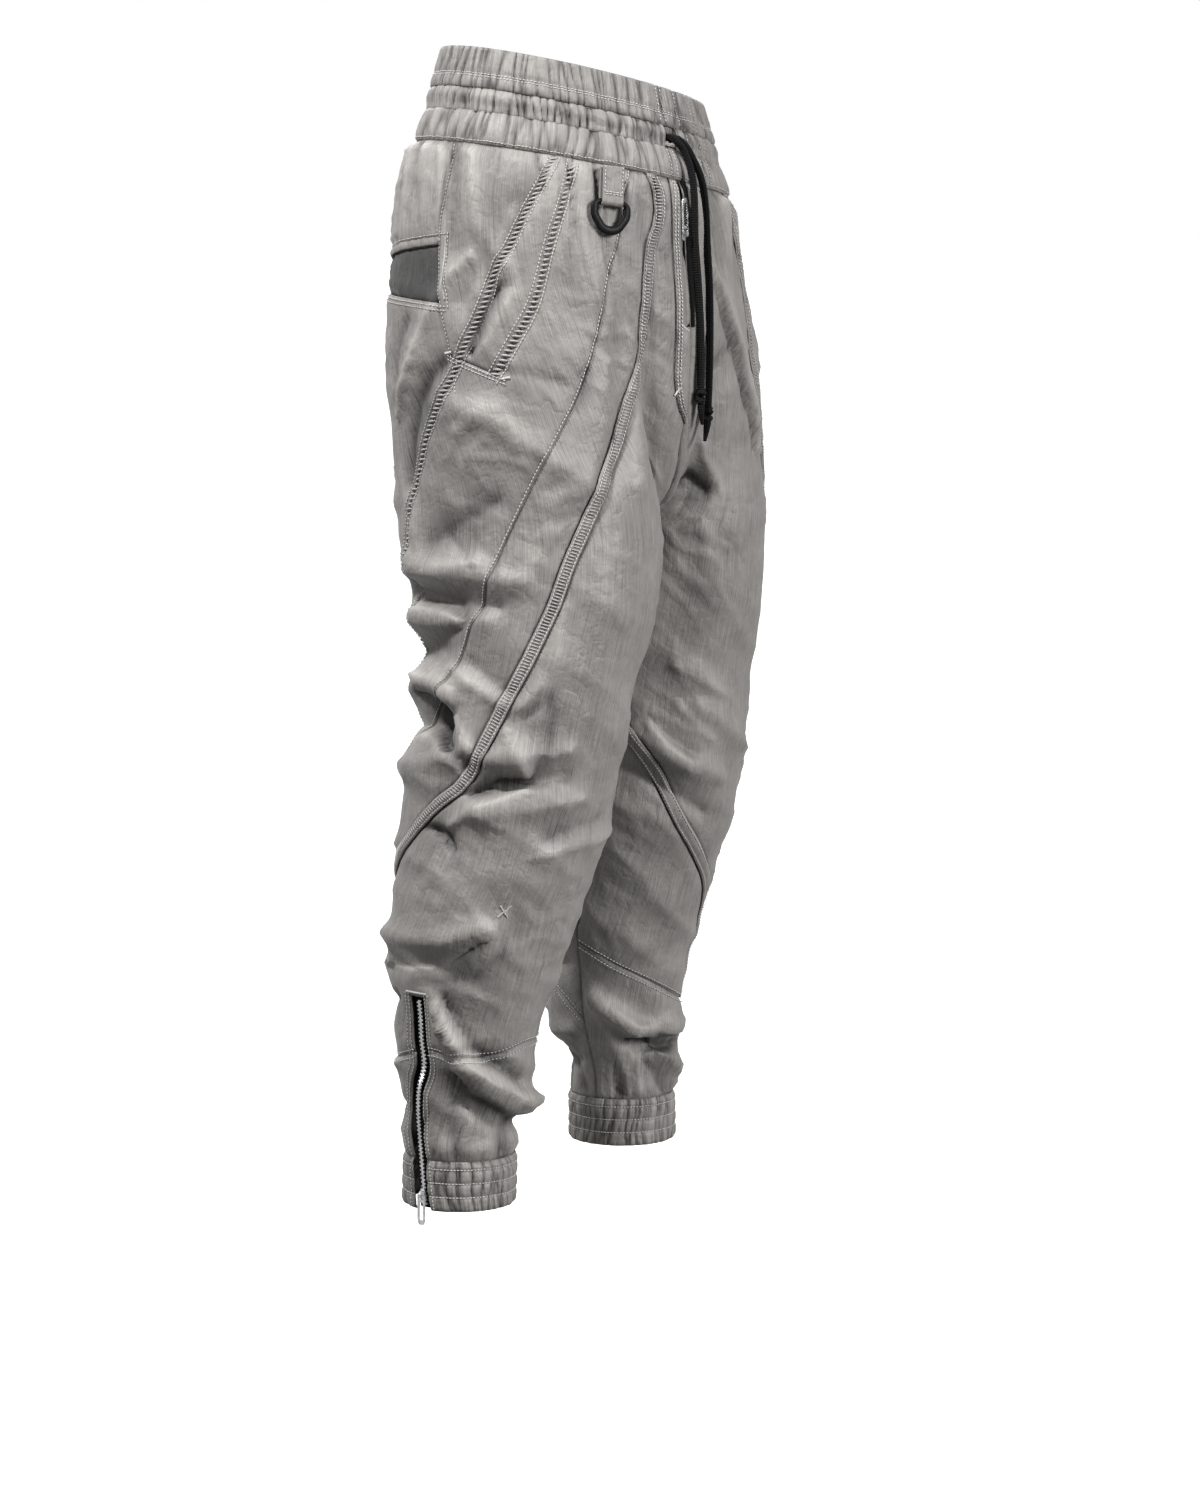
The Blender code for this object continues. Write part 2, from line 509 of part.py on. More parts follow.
# ---- gathered tiers of the waistband and elastic cuffs ----
def gathered(name, cols, rows, amp, mat):
    """Band through columns (side, u) with rows (v, out); open ends get caps when cols are open."""
    closed = cols[0][0] != cols[-1][0] and len(rows) and cols[0][1] == 0
    n, r = len(cols), len(rows)
    grid = np.empty((2, r, n, 3))
    for side in (RIGHT, LEFT):
        k = [i for i, c in enumerate(cols) if c[0] == side]
        if not k:
            continue
        u = np.array([cols[i][1] for i in k])
        wave = np.array([amp * (-1) ** i * (.75 + .25 * math.sin(i * .9)) for i in k])
        for j, (v, out) in enumerate(rows):
            p, nn = cloth(side, u, np.full(len(u), v), wave * (.55 if j in (0, r - 1) else 1) + out)
            grid[0, j, k] = p
            grid[1, j, k] = p - nn * WALL
    verts = grid.reshape(-1, 3)

    def vid(layer, j, i):
        return (layer * r + j) * n + i % n
    faces = []
    for i in range(n if closed else n - 1):
        for j in range(r - 1):
            faces.append((vid(0, j, i), vid(0, j + 1, i), vid(0, j + 1, i + 1), vid(0, j, i + 1)))
            faces.append((vid(1, j, i + 1), vid(1, j + 1, i + 1), vid(1, j + 1, i), vid(1, j, i)))
        faces.append((vid(0, 0, i + 1), vid(1, 0, i + 1), vid(1, 0, i), vid(0, 0, i)))
        faces.append((vid(0, r - 1, i), vid(1, r - 1, i), vid(1, r - 1, i + 1), vid(0, r - 1, i + 1)))
    if not closed:
        ring0 = [vid(0, j, 0) for j in range(r)] + [vid(1, j, 0) for j in reversed(range(r))]
        ring1 = [vid(0, j, n - 1) for j in range(r)] + [vid(1, j, n - 1) for j in reversed(range(r))]
        faces += [tuple(reversed(ring0)), tuple(ring1)]
    a, b, c = (verts[i] for i in faces[0][:3])
    if np.cross(b - a, c - a) @ (a - grid[1, 0, 0]) < 0:
        faces = [tuple(reversed(f)) for f in faces]
    faces = [g for f in faces for g in (((f[0], f[1], f[2]), (f[0], f[2], f[3])) if len(f) == 4 else (f,))]
    return body(name, verts, faces, mat)


def waist_columns(slit):
    """96 columns round the waist, from the centre front by the right side and back."""
    w = np.linspace(slit, 1 - slit, 97) if slit else np.linspace(0, 1, 97)[:-1]
    return [(RIGHT, 2 * x) if x < .5 else (LEFT, 2 - 2 * x) for x in w]


gathered("waist_top_tier", waist_columns(0), ((0, 0), (-.025, .0035), (-.0335, .0010)), .0013, cotton)
gathered("waist_cord_tier", waist_columns(.0092), ((-.0338, 0), (-.0430, .0032), (-.0525, .0003)),
         .0012, cotton)
gathered("waist_low_tier", waist_columns(0), ((-.0528, .0008), (-.0655, .0036), (-.0770, .0006)),
         .0012, cotton)


def cuff_columns(side):
    """48 columns round the ankle, from one edge of the zip to the other."""
    mid = .535
    half = TAPE / 2 / float(around(-.93)) + .004
    w = np.linspace(mid + half, 1 + mid - half, 49)
    return [(side, x if x < 1 else x - 1) for x in w]


for side, word in ((RIGHT, "right"), (LEFT, "left")):
    gathered(f"{word}_cuff", cuff_columns(side), ((CUFF_TOP - .0004, .0002), (-.927, .0020),
             (-.944, .0020), (CUFF_END, 0)), .0011, cotton)


# ---- hardware ----
def frame_at(side, u, v, out):
    """Origin, across, down, away axes on the cloth."""
    p, n = cloth(side, np.array([u]), np.array([v]), np.array([out]))
    q, _ = cloth(side, np.array([u]), np.array([v - .004]), np.array([out]))
    p, n, d = p[0], n[0], q[0] - p[0]
    d -= n * (d @ n)
    d /= np.linalg.norm(d)
    return p, np.cross(d, n), d, n


def extrude(outline, hole, w, f):
    """Side profile (down, away) with an optional 4-corner hole, extruded across by +-w/2."""
    o, x, d, n = f
    loops = [outline] + ([hole] if hole else [])
    pts, edges = [], []
    for lp in loops:
        b = len(pts)
        pts += lp
        edges += [(b + i, b + (i + 1) % len(lp)) for i in range(len(lp))]
    vs, _, tris, _, _, _ = delaunay_2d_cdt([Vector(p) for p in pts], edges, [], 0, 1e-9)

    def within(poly, px, py):
        c = False
        for (x0, y0), (x1, y1) in zip(poly, poly[1:] + poly[:1]):
            if (y0 > py) != (y1 > py) and px < (x1 - x0) * (py - y0) / (y1 - y0) + x0:
                c = not c
        return c
    keep = []
    for t in tris:
        mx = sum(vs[i][0] for i in t) / 3
        my = sum(vs[i][1] for i in t) / 3
        if within(outline, mx, my) and not (hole and within(hole, mx, my)):
            keep.append(tuple(t))
    m = len(vs)
    verts = [o + d * p[0] + n * p[1] + x * s * w / 2 for s in (1, -1) for p in vs]
    own = {(t[i], t[(i + 1) % 3]) for t in keep for i in range(3)}
    faces = keep + [tuple(i + m for i in reversed(t)) for t in keep]
    for a, b in own:
        if (b, a) not in own:
            faces += [(b, a, a + m), (b, a + m, b + m)]
    return verts, faces


def outward(verts, faces):
    """Turn all faces round if the body's volume is negative."""
    v = np.array(verts)
    vol = sum(float(v[f[0]] @ np.cross(v[f[1]], v[f[2]])) for f in faces)
    return faces if vol > 0 else [tuple(reversed(f)) for f in faces]


def tube(path, radii, count, squares=None, closed=False):
    """Swept body along points; radii per point; count sides."""
    p = np.array(path, float)
    t = np.gradient(p, axis=0) if not closed else np.roll(p, -1, 0) - np.roll(p, 1, 0)
    t /= np.linalg.norm(t, axis=1, keepdims=True)
    ref = squares if squares is not None else np.array((1.0, 0, 0))
    verts = []
    for c, d, r in zip(p, t, radii):
        a = ref - d * (ref @ d)
        a /= np.linalg.norm(a)
        b = np.cross(d, a)
        for k in range(count):
            w = 2 * math.pi * (k + .5) / count
            verts.append(c + (a * math.cos(w) + b * math.sin(w)) * r)
    n = len(p)
    faces = []
    for i in range(n if closed else n - 1):
        for k in range(count):
            a, b = i * count + k, i * count + (k + 1) % count
            c, d = ((i + 1) % n) * count + k, ((i + 1) % n) * count + (k + 1) % count
            faces += [(a, b, d), (a, d, c)]
    if not closed:
        for base, turn in ((0, -1), ((n - 1) * count, 1)):
            for k in range(1, count - 1):
                f = (base, base + k, base + k + 1)
                faces.append(f if turn > 0 else tuple(reversed(f)))
    return verts, outward(verts, faces)


SLIDER = [(-.0055, 0), (.0055, 0), (.0055, .0016), (.0026, .0016), (.0026, .0051), (-.0026, .0051),
          (-.0026, .0016), (-.0055, .0016)]
TUNNEL = [(-.0016, .0018), (.0016, .0018), (.0016, .0042), (-.0016, .0042)]
AXIS = .0030             # height of the pull's pin above the slider's base


def zip_hardware(name, side, u, v, out, length, sign):
    """Slider with a bridge, and a pull tab whose end bar runs through the bridge."""
    f = frame_at(side, u, v, out)
    o, x, d, n = f
    verts, faces = extrude(SLIDER, TUNNEL, .0050, f)
    body(f"{name}_slider", verts, outward(verts, faces), silver)
    pin = o + n * AXIS
    w, t = .0042, .0006
    rows = [(-t, w), (length - .002, w), (length, w * .6)]
    loop = [(-t, -w), (length - .002, -w), (length, -w * .6), (length, w * .6), (length - .002, w),
            (-t, w)]
    eye = [(t, -.0029), (.0042, -.0029), (.0042, .0029), (t, .0029)]
    g = (pin, n, d * sign, x)
    verts, faces = extrude(loop, eye, 2 * t, g)
    body(f"{name}_pull", verts, outward(verts, faces), silver, pin)
    return pin, x


hinges = {}
for side, word in ((RIGHT, "right"), (LEFT, "left")):
    hinges[f"{word}_ankle_zip_pull"] = zip_hardware(f"{word}_ankle_zip", side, .526, -.944, .0006,
                                                    .026, 1)
hinges["fly_zip_pull"] = zip_hardware("fly_zip", RIGHT, .0055, -.124, .0006, .030, -1)


def strip(name, side, v0, v1, width, out, wall, count, mat):
    """Straight tape on the zip line, its points on the cloth moved in or out."""
    vs = np.linspace(v0, v1, count)
    z = line(ZIP_LINE, .004)
    us = np.interp(-vs, -z[:, 1], z[:, 0])
    ring = []
    for s in (-1, 1):
        uu = us + s * width / 2 / around(vs)
        p, n = cloth(side, uu, vs, np.full(count, out))
        ring.append((p, p - n * wall))
    verts = np.vstack((ring[0][0], ring[1][0], ring[1][1], ring[0][1]))
    faces = []
    for i in range(count - 1):
        for a in range(4):
            b = (a + 1) % 4
            faces += [(a * count + i, b * count + i, b * count + i + 1),
                      (a * count + i, b * count + i + 1, a * count + i + 1)]
    for i, turn in ((0, 1), (count - 1, -1)):
        q = [a * count + i for a in range(4)]
        for f in ((q[0], q[1], q[2]), (q[0], q[2], q[3])):
            faces.append(tuple(reversed(f)) if turn > 0 else f)
    return body(name, verts, outward(verts, faces), mat)


for side, word in ((RIGHT, "right"), (LEFT, "left")):
    strip(f"{word}_ankle_zip_tape", side, -.770, -.956, .020, -.0050, .0010, 18, webbing)
    strip(f"{word}_ankle_zip_teeth", side, -.774, -.955, .0050, -.0016, .0022, 18, silver)

# ---- ring tab (folded webbing) and its ring, right hip ----
f = frame_at(RIGHT, .172, -.1095, 0)
o, x, d, n = f
BAR_OUT, BAR_R, LOOP_R = .0052, .0017, .0028
mid = [(-.0300, .0078), (-.015, .0079), (0, BAR_OUT + LOOP_R)]
mid += [(LOOP_R * math.sin(a), BAR_OUT + LOOP_R * math.cos(a)) for a in (.63, 1.26, 1.88, 2.51)]
mid += [(0, BAR_OUT - LOOP_R), (-.015, .0024), (-.0300, .0028)]
m = np.array(mid)
tang = np.gradient(m, axis=0)
tang /= np.linalg.norm(tang, axis=1, keepdims=True)
side_n = np.c_[-tang[:, 1], tang[:, 0]] * .0006
outline = [tuple(q) for q in m + side_n] + [tuple(q) for q in (m - side_n)[::-1]]
verts, faces = extrude(outline, None, .020, f)
body("ring_tab", verts, outward(verts, faces), cotton)
bar = o + n * BAR_OUT
ring_path = [(-.0125, 0), (.0125, 0), (.0152, .0025), (.0158, .009), (.0140, .0160), (.0095, .0212),
             (.0035, .0236), (-.0035, .0236), (-.0095, .0212), (-.0140, .0160), (-.0158, .009),
             (-.0152, .0025)]
verts, faces = tube([bar + x * a + d * b for a, b in ring_path], [BAR_R] * 12, 6, squares=n, closed=True)
body("ring", verts, faces, lacquer, bar)
hinges["ring"] = (bar, x)

# ---- drawcord: two free ends, each with a knot and a short tail ----
CORD = .0031
CORDS = {        # rows on the cloth (side, u, v, out), then the free hang (x, y, z) from the last
    "drawcord_right": (((RIGHT, .0085, -.0430, -.0020), (RIGHT, .0085, -.0432, .0020),
                        (RIGHT, .0080, -.0450, .0065), (RIGHT, .0040, -.0500, .0097),
                        (LEFT, .0060, -.0580, .0106), (LEFT, .0100, -.0740, .0106),
                        (LEFT, .0105, -.0950, .0082), (LEFT, .0110, -.1300, .0066),
                        (LEFT, .0120, -.1700, .0063), (LEFT, .0130, -.2100, .0063)),
                       ((0, 0, -.025), (0, 0, -.046), (0, 0, -.050), (.0005, 0, -.055),
                        (.0005, 0, -.059), (.001, 0, -.072), (.003, 0, -.090))),
    "drawcord_left": (((LEFT, .0085, -.0430, -.0020), (LEFT, .0085, -.0432, .0020),
                       (LEFT, .0095, -.0450, .0065), (LEFT, .0150, -.0500, .0097),
                       (LEFT, .0240, -.0590, .0104), (LEFT, .0340, -.0760, .0104),
                       (LEFT, .0390, -.0980, .0080), (LEFT, .0420, -.1300, .0064),
                       (LEFT, .0410, -.1700, .0062), (LEFT, .0390, -.2100, .0064)),
                      ((-.001, 0, -.035), (-.003, 0, -.061), (-.0032, 0, -.065), (-.0036, 0, -.070),
                       (-.004, 0, -.074), (-.007, 0, -.086), (-.011, 0, -.101)))}

for name, (near, hang) in CORDS.items():
    p = [cloth(q, np.array([a]), np.array([b]), np.array([c]))[0][0] for q, a, b, c in near]
    p += [p[-1] + q for q in hang]
    r = [CORD] * len(p)
    for k in (12, 13):
        r[k] = .0054
    verts, faces = tube(p, r, 8)
    body(name, verts, faces, webbing)
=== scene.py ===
# Grey cargo trousers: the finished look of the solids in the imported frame.
# Metres, +Z up, front -Y, left leg +X, origin at the middle of the waist opening.
import math

import bpy
import numpy as np
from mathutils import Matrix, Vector, kdtree, noise
from mathutils.geometry import delaunay_2d_cdt


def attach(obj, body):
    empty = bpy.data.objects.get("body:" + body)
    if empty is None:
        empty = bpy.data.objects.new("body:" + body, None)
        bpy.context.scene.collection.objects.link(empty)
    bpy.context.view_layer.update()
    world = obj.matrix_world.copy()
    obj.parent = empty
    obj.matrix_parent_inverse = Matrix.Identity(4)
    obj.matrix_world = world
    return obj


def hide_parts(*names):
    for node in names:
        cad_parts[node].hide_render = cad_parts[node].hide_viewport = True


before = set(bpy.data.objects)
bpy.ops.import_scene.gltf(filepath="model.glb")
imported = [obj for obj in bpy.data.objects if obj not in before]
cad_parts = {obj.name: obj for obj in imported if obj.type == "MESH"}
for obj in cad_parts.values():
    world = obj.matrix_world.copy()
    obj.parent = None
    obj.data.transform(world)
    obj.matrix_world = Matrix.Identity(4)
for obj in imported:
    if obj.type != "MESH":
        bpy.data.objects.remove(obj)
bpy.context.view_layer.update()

# ---- Camera, floor and light ------------------------------------------------------------
# The camera stands four metres off to the front right, a little below the waist, and is
# tipped down. A wide pale floor lies under the cuffs, and the lamps are large and soft.
EYE_DISTANCE, EYE_HEIGHT, LENS, FILM = 4.0, -.08, 110.4, 36
EYE_SIDE, EYE_TURN, EYE_TIP = math.radians(60), math.radians(.42), math.radians(7.16)
FLOOR, FLOOR_REACH, FLOOR_GLOW = -1.20, 60, .55
LAMPS_AIM, SUN_STANDS = -.15, 3
SKY_LIGHT, BACKDROP_LIGHT, SKY_IN_METAL = .17, 1, .40

eye = bpy.data.cameras.new("studio camera")
eye.lens, eye.sensor_width = LENS, FILM
stand = bpy.data.objects.new("studio camera", eye)
bpy.context.scene.collection.objects.link(stand)
bpy.context.scene.camera = stand
heading = EYE_SIDE + EYE_TURN
look = Vector((math.sin(heading) * math.cos(EYE_TIP), math.cos(heading) * math.cos(EYE_TIP),
               -math.sin(EYE_TIP)))
stand.location = (-math.sin(EYE_SIDE) * EYE_DISTANCE, -math.cos(EYE_SIDE) * EYE_DISTANCE, EYE_HEIGHT)
stand.rotation_euler = look.to_track_quat("-Z", "Y").to_euler()


def softbox(name, azimuth, height, spread_angle, strength, reach=None):
    """Soft lamp: degrees round from the front and up, degrees it looks wide, light at the waist;
    one that stands at a reach in metres falls off down the legs."""
    lamp = bpy.data.lights.new(name, "AREA" if reach else "SUN")
    if reach:
        lamp.shape, lamp.size = "DISK", 2 * reach * math.tan(math.radians(spread_angle) / 2)
        lamp.energy = strength * math.pi * reach ** 2
    else:
        lamp.angle, lamp.energy = math.radians(spread_angle), strength
    ob = bpy.data.objects.new(name, lamp)
    a, e = math.radians(azimuth), math.radians(height)
    way = Vector((math.sin(a) * math.cos(e), -math.cos(a) * math.cos(e), math.sin(e)))
    ob.location = way * (reach or SUN_STANDS) + Vector((0, 0, LAMPS_AIM))
    ob.rotation_euler = (-way).to_track_quat("-Z", "Y").to_euler()
    bpy.context.scene.collection.objects.link(ob)


softbox("key_light", -100, 50, 9, 5.3, 2.2)
softbox("right_light", 0, 22, 24, 3.6)
softbox("left_light", -150, 10, 30, .45)
softbox("back_light", 140, 35, 35, 1.4)


def finish(name, colour, rough, metal=0.0, sheen=0.0):
    """New node material with its plain values set; returns it with its tree and shader."""
    m = bpy.data.materials.new(name)
    m.use_nodes = True
    b = m.node_tree.nodes["Principled BSDF"]
    b.inputs["Base Color"].default_value = (*colour, 1)
    b.inputs["Roughness"].default_value = rough
    b.inputs["Metallic"].default_value = metal
    b.inputs["Sheen Weight"].default_value = sheen
    return m, m.node_tree, b


def add(tree, kind, **values):
    """New node with its inputs or properties set by name."""
    n = tree.nodes.new("ShaderNode" + kind)
    for key, value in values.items():
        if key in n.inputs:
            n.inputs[key].default_value = value
        else:
            setattr(n, key, value)
    return n


bpy.context.scene.view_settings.view_transform = "Standard"
world = bpy.data.worlds.new("studio")
bpy.context.scene.world = world
world.use_nodes = True
tree = world.node_tree
sky = tree.nodes["Background"]
sky.inputs["Color"].default_value = (1, .995, .985, 1)
sky.inputs["Strength"].default_value = SKY_LIGHT
paper = add(tree, "Background", Color=(1, 1, 1, 1), Strength=BACKDROP_LIGHT)
pick, seen = add(tree, "MixShader"), add(tree, "LightPath")
share = add(tree, "Math", operation="MULTIPLY_ADD")
share.inputs[1].default_value = SKY_IN_METAL
for a, b in ((seen.outputs["Is Glossy Ray"], share.inputs[0]),
             (seen.outputs["Is Camera Ray"], share.inputs[2]), (share.outputs[0], pick.inputs[0]),
             (sky.outputs[0], pick.inputs[1]), (paper.outputs[0], pick.inputs[2]),
             (pick.outputs[0], tree.nodes["World Output"].inputs[0])):
    tree.links.new(a, b)

mesh = bpy.data.meshes.new("floor")
mesh.from_pydata([(x * FLOOR_REACH, y * FLOOR_REACH, FLOOR)
                  for x, y in ((-1, -1), (1, -1), (1, 1), (-1, 1))], [], [(0, 1, 2, 3)])
floor = bpy.data.objects.new("floor", mesh)
bpy.context.scene.collection.objects.link(floor)
pale, _, shader = finish("pale floor", (.86, .86, .86), .9)
shader.inputs["Emission Color"].default_value = (1, 1, 1, 1)
shader.inputs["Emission Strength"].default_value = FLOOR_GLOW
mesh.materials.append(pale)
floor.visible_diffuse = floor.visible_glossy = False   # its bounce would flatten the folds

# ---- Drawcord ---------------------------------------------------------------------------
# Two ends of a round braided black cord, out of the slit at the centre front. They lie on the
# cloth, so its form comes first here, and hang free to a knot and a short thin tail each.
RIGHT, LEFT = -1, 1
LEGS = ((RIGHT, "right"), (LEFT, "left"))
WAIST_SEAM, CROTCH, CUFF_TOP = -.078, -.383, -.915
FRONT_TILT, SIDE_TILT, FRONT_TURN = -.013, .022, .19   # of the waist; the fly sits off the middle
FRONT_RISE, BACK_RISE = -.265, -.20                    # the rise curves in under from here
SEAT, SEAT_DEPTH = -.20, .18                           # half a torso becomes a leg's whole ring
# height, half width, half depth, centre y
TORSO = (
    (0.040, .139, .100, -.008), (0.000, .140, .101, -.008), (-.025, .146, .106, -.008),
    (-.050, .152, .112, -.008), (-.075, .163, .121, -.008), (-.100, .174, .128, -.007),
    (-.140, .183, .133, -.005), (-.200, .190, .137, -.006), (-.260, .193, .132, -.010),
    (-.320, .192, .124, -.014), (-.420, .188, .118, -.018))
# height, centre x, centre y, half width, half depth
LEG = (
    (-.050, .0800, -.006, .0800, .118), (-.140, .0920, -.004, .0920, .131),
    (-.200, .0950, -.006, .0950, .134), (-.260, .0965, -.010, .0965, .128),
    (-.320, .0960, -.015, .0960, .118), (-.383, .0960, -.020, .0960, .114),
    (-.406, .0985, -.024, .0955, .111), (-.440, .1030, -.028, .0935, .106),
    (-.474, .1085, -.029, .0915, .099), (-.524, .1160, -.0256, .0895, .092),
    (-.575, .1210, -.020, .0880, .0905), (-.633, .1270, -.012, .0870, .0895),
    (-.660, .1300, -.008, .0845, .0860), (-.692, .1350, -.002, .0800, .0790),
    (-.726, .1375, .004, .0765, .0755), (-.755, .1400, .011, .0735, .0725),
    (-.790, .1425, .013, .0655, .0625), (-.8285, .1450, .015, .0590, .0575),
    (-.8605, .1475, .017, .0540, .0525), (-.898, .1500, .019, .0475, .0470),
    (-.960, .1520, .019, .0462, .0460))
LEFT_BACK = ((-.36, 0.0), (-.44, .008), (-.608, .0114), (-.755, .0166), (-.8285, .018),
             (-.90, .010), (-.96, .010))
# main folds: side (0 both), height mm (+ out), width mm, path of (u, v)
FOLDS = (
    (RIGHT, 8, 17, ((.62, -.405), (.52, -.412), (.44, -.418))),
    (RIGHT, -7, 15, ((.66, -.432), (.55, -.436), (.47, -.44))),
    (RIGHT, 6, 17, ((.66, -.457), (.55, -.452), (.49, -.45))),
    (RIGHT, -7, 20, ((.80, -.49), (.66, -.485), (.56, -.48))),
    (RIGHT, 8, 16, ((.68, -.515), (.58, -.515), (.54, -.512))),
    (RIGHT, -11, 16, ((.72, -.55), (.61, -.543), (.53, -.53))),
    (RIGHT, 8, 17, ((.70, -.582), (.58, -.575), (.50, -.56))),
    (RIGHT, -6, 12, ((.43, -.588), (.38, -.585), (.34, -.58))),
    (RIGHT, 6, 12, ((.46, -.565), (.40, -.562), (.34, -.56))),
    (RIGHT, 5, 14, ((.46, -.61), (.38, -.607), (.30, -.60))),
    (RIGHT, 9, 13, ((.68, -.725), (.58, -.722), (.48, -.72), (.42, -.71))),
    (RIGHT, -6, 12, ((.66, -.750), (.56, -.747), (.47, -.742), (.42, -.72))),
    (RIGHT, 7, 12, ((.475, -.778), (.462, -.795), (.445, -.817), (.40, -.845), (.30, -.868), (.20, -.874))),
    (RIGHT, -6, 11, ((.42, -.864), (.33, -.886), (.22, -.893), (.10, -.888))),
    (RIGHT, 8, 13, ((.24, -.862), (.16, -.872), (.08, -.872))),
    (RIGHT, 5, 18, ((.14, -.22), (.19, -.28), (.25, -.34))),
    (RIGHT, -4, 16, ((.20, -.22), (.24, -.27), (.30, -.33))),
    (RIGHT, -4, 16, ((.36, -.12), (.40, -.16), (.47, -.20))),
    (RIGHT, 4, 14, ((.46, -.10), (.43, -.14), (.38, -.17))),
    (RIGHT, 4, 18, ((.52, -.27), (.42, -.30), (.34, -.34))),
    (LEFT, 8, 14, ((.06, -.565), (.13, -.59), (.22, -.612))),
    (LEFT, -6, 12, ((.04, -.60), (.12, -.62), (.20, -.645))),
    (LEFT, 6, 13, ((.16, -.545), (.22, -.565), (.30, -.59))),
    (LEFT, 7, 12, ((.03, -.815), (.12, -.842), (.20, -.868), (.30, -.892))),
    (LEFT, -7, 11, ((.14, -.868), (.21, -.86), (.28, -.858))),
    (LEFT, 7, 12, ((.22, -.845), (.28, -.845), (.34, -.85))),
    (LEFT, -8, 26, ((.02, -.33), (.05, -.36), (.08, -.40))),
    (LEFT, -5, 16, ((.10, -.24), (.08, -.30), (.10, -.36))),
    (LEFT, 5, 18, ((.15, -.26), (.14, -.33), (.16, -.41))),
    (LEFT, 7, 17, ((.66, -.43), (.55, -.425), (.46, -.43))),
    (LEFT, -7, 16, ((.70, -.47), (.58, -.46), (.48, -.465))),
    (LEFT, 7, 17, ((.72, -.50), (.60, -.498), (.50, -.49))),
    (LEFT, -9, 16, ((.74, -.545), (.62, -.54), (.52, -.53))),
    (LEFT, 8, 15, ((.72, -.575), (.60, -.572), (.50, -.565))),
    (LEFT, 7, 13, ((.70, -.735), (.58, -.73), (.46, -.728))),
    (LEFT, -6, 12, ((.68, -.760), (.58, -.758), (.48, -.752))),
    (0, -7, 13, ((.98, -.50), (.88, -.49), (.76, -.50))),
    (0, 7, 14, ((.98, -.53), (.88, -.525), (.78, -.53))),
    (0, -6, 13, ((.99, -.60), (.90, -.59), (.80, -.60))),
    (0, 6, 14, ((.96, -.69), (.86, -.70), (.76, -.695))),
    (0, -6, 13, ((.97, -.79), (.86, -.79), (.74, -.785))),
    (0, 6, 13, ((.97, -.850), (.86, -.856), (.72, -.850))),
    (0, -5, 12, ((.95, -.880), (.85, -.884), (.70, -.880))),
    (0, -4, 18, ((.95, -.30), (.88, -.36), (.78, -.40))),
    (0, 4, 18, ((.85, -.27), (.76, -.33), (.66, -.36))))


def smooth(x, table, col):
    """Monotone cubic through one column of a table whose first column falls."""
    t = np.array(table, float)
    xs, ys = t[::-1, 0], t[::-1, col]
    x = np.clip(np.asarray(x, float), xs[0], xs[-1])
    d = np.diff(ys) / np.diff(xs)
    m = np.empty_like(ys)
    m[0], m[-1] = d[0], d[-1]
    same = d[:-1] * d[1:] > 0
    m[1:-1] = np.where(same, 2 * d[:-1] * d[1:] / np.where(same, d[:-1] + d[1:], 1), 0)
    i = np.clip(np.searchsorted(xs, x) - 1, 0, len(xs) - 2)
    h = xs[i + 1] - xs[i]
    s = (x - xs[i]) / h
    return (ys[i] * (1 + 2 * s) * (1 - s) ** 2 + m[i] * h * s * (1 - s) ** 2
            + ys[i + 1] * s * s * (3 - 2 * s) + m[i + 1] * h * s * s * (s - 1))


def ease(x):
    """Smooth step from 0 to 1."""
    x = np.clip(x, 0, 1)
    return x * x * (3 - 2 * x)


def around(v):
    """Length of cloth from the front edge to the back edge of a leg at height v."""
    a = smooth(v, LEG, 3)
    b = smooth(v, LEG, 4)
    ring = 2 * math.pi * np.sqrt((a * a + b * b) / 2)
    half = math.pi * np.sqrt((smooth(v, TORSO, 1) ** 2 + smooth(v, TORSO, 2) ** 2) / 2)
    return half + (ring - half) * ease((SEAT - v) / SEAT_DEPTH)


def form(side, u, v):
    """The worn form: half a torso ring above the crotch, a whole leg ring below."""
    turn = FRONT_TURN * ease((v - CROTCH) / .09) * -side
    t = turn * (1 - u) + math.pi * u
    a = 2 * math.pi * u - math.pi / 2
    tx = smooth(v, TORSO, 1) * np.sin(t)
    ty = smooth(v, TORSO, 3) - smooth(v, TORSO, 2) * np.cos(t)
    back = smooth(v, LEFT_BACK, 1) if side > 0 else 0.0
    lx = smooth(v, LEG, 1) + smooth(v, LEG, 3) * np.sin(a)
    ly = smooth(v, LEG, 2) - smooth(v, LEG, 4) * np.cos(a) + back
    mid = np.where(v <= CROTCH, 1, ease((-.12 - v) / .28))
    top = np.where(u < .5, FRONT_RISE, BACK_RISE)
    rise = 1 - np.sqrt(np.maximum(1 - np.clip((top - v) / (top - CROTCH), 0, 1) ** 2.2, 0))
    near = np.where(v <= CROTCH, 0, np.exp(-(np.minimum(u, 1 - u) / .13) ** 2))
    w = mid + (rise - mid) * near
    fade = ease((v + .36) / .28)
    z = v + fade * (FRONT_TILT * np.cos(t) - side * SIDE_TILT * np.sin(t))
    return np.stack([side * (tx + (lx - tx) * w), ty + (ly - ty) * w, z], -1)


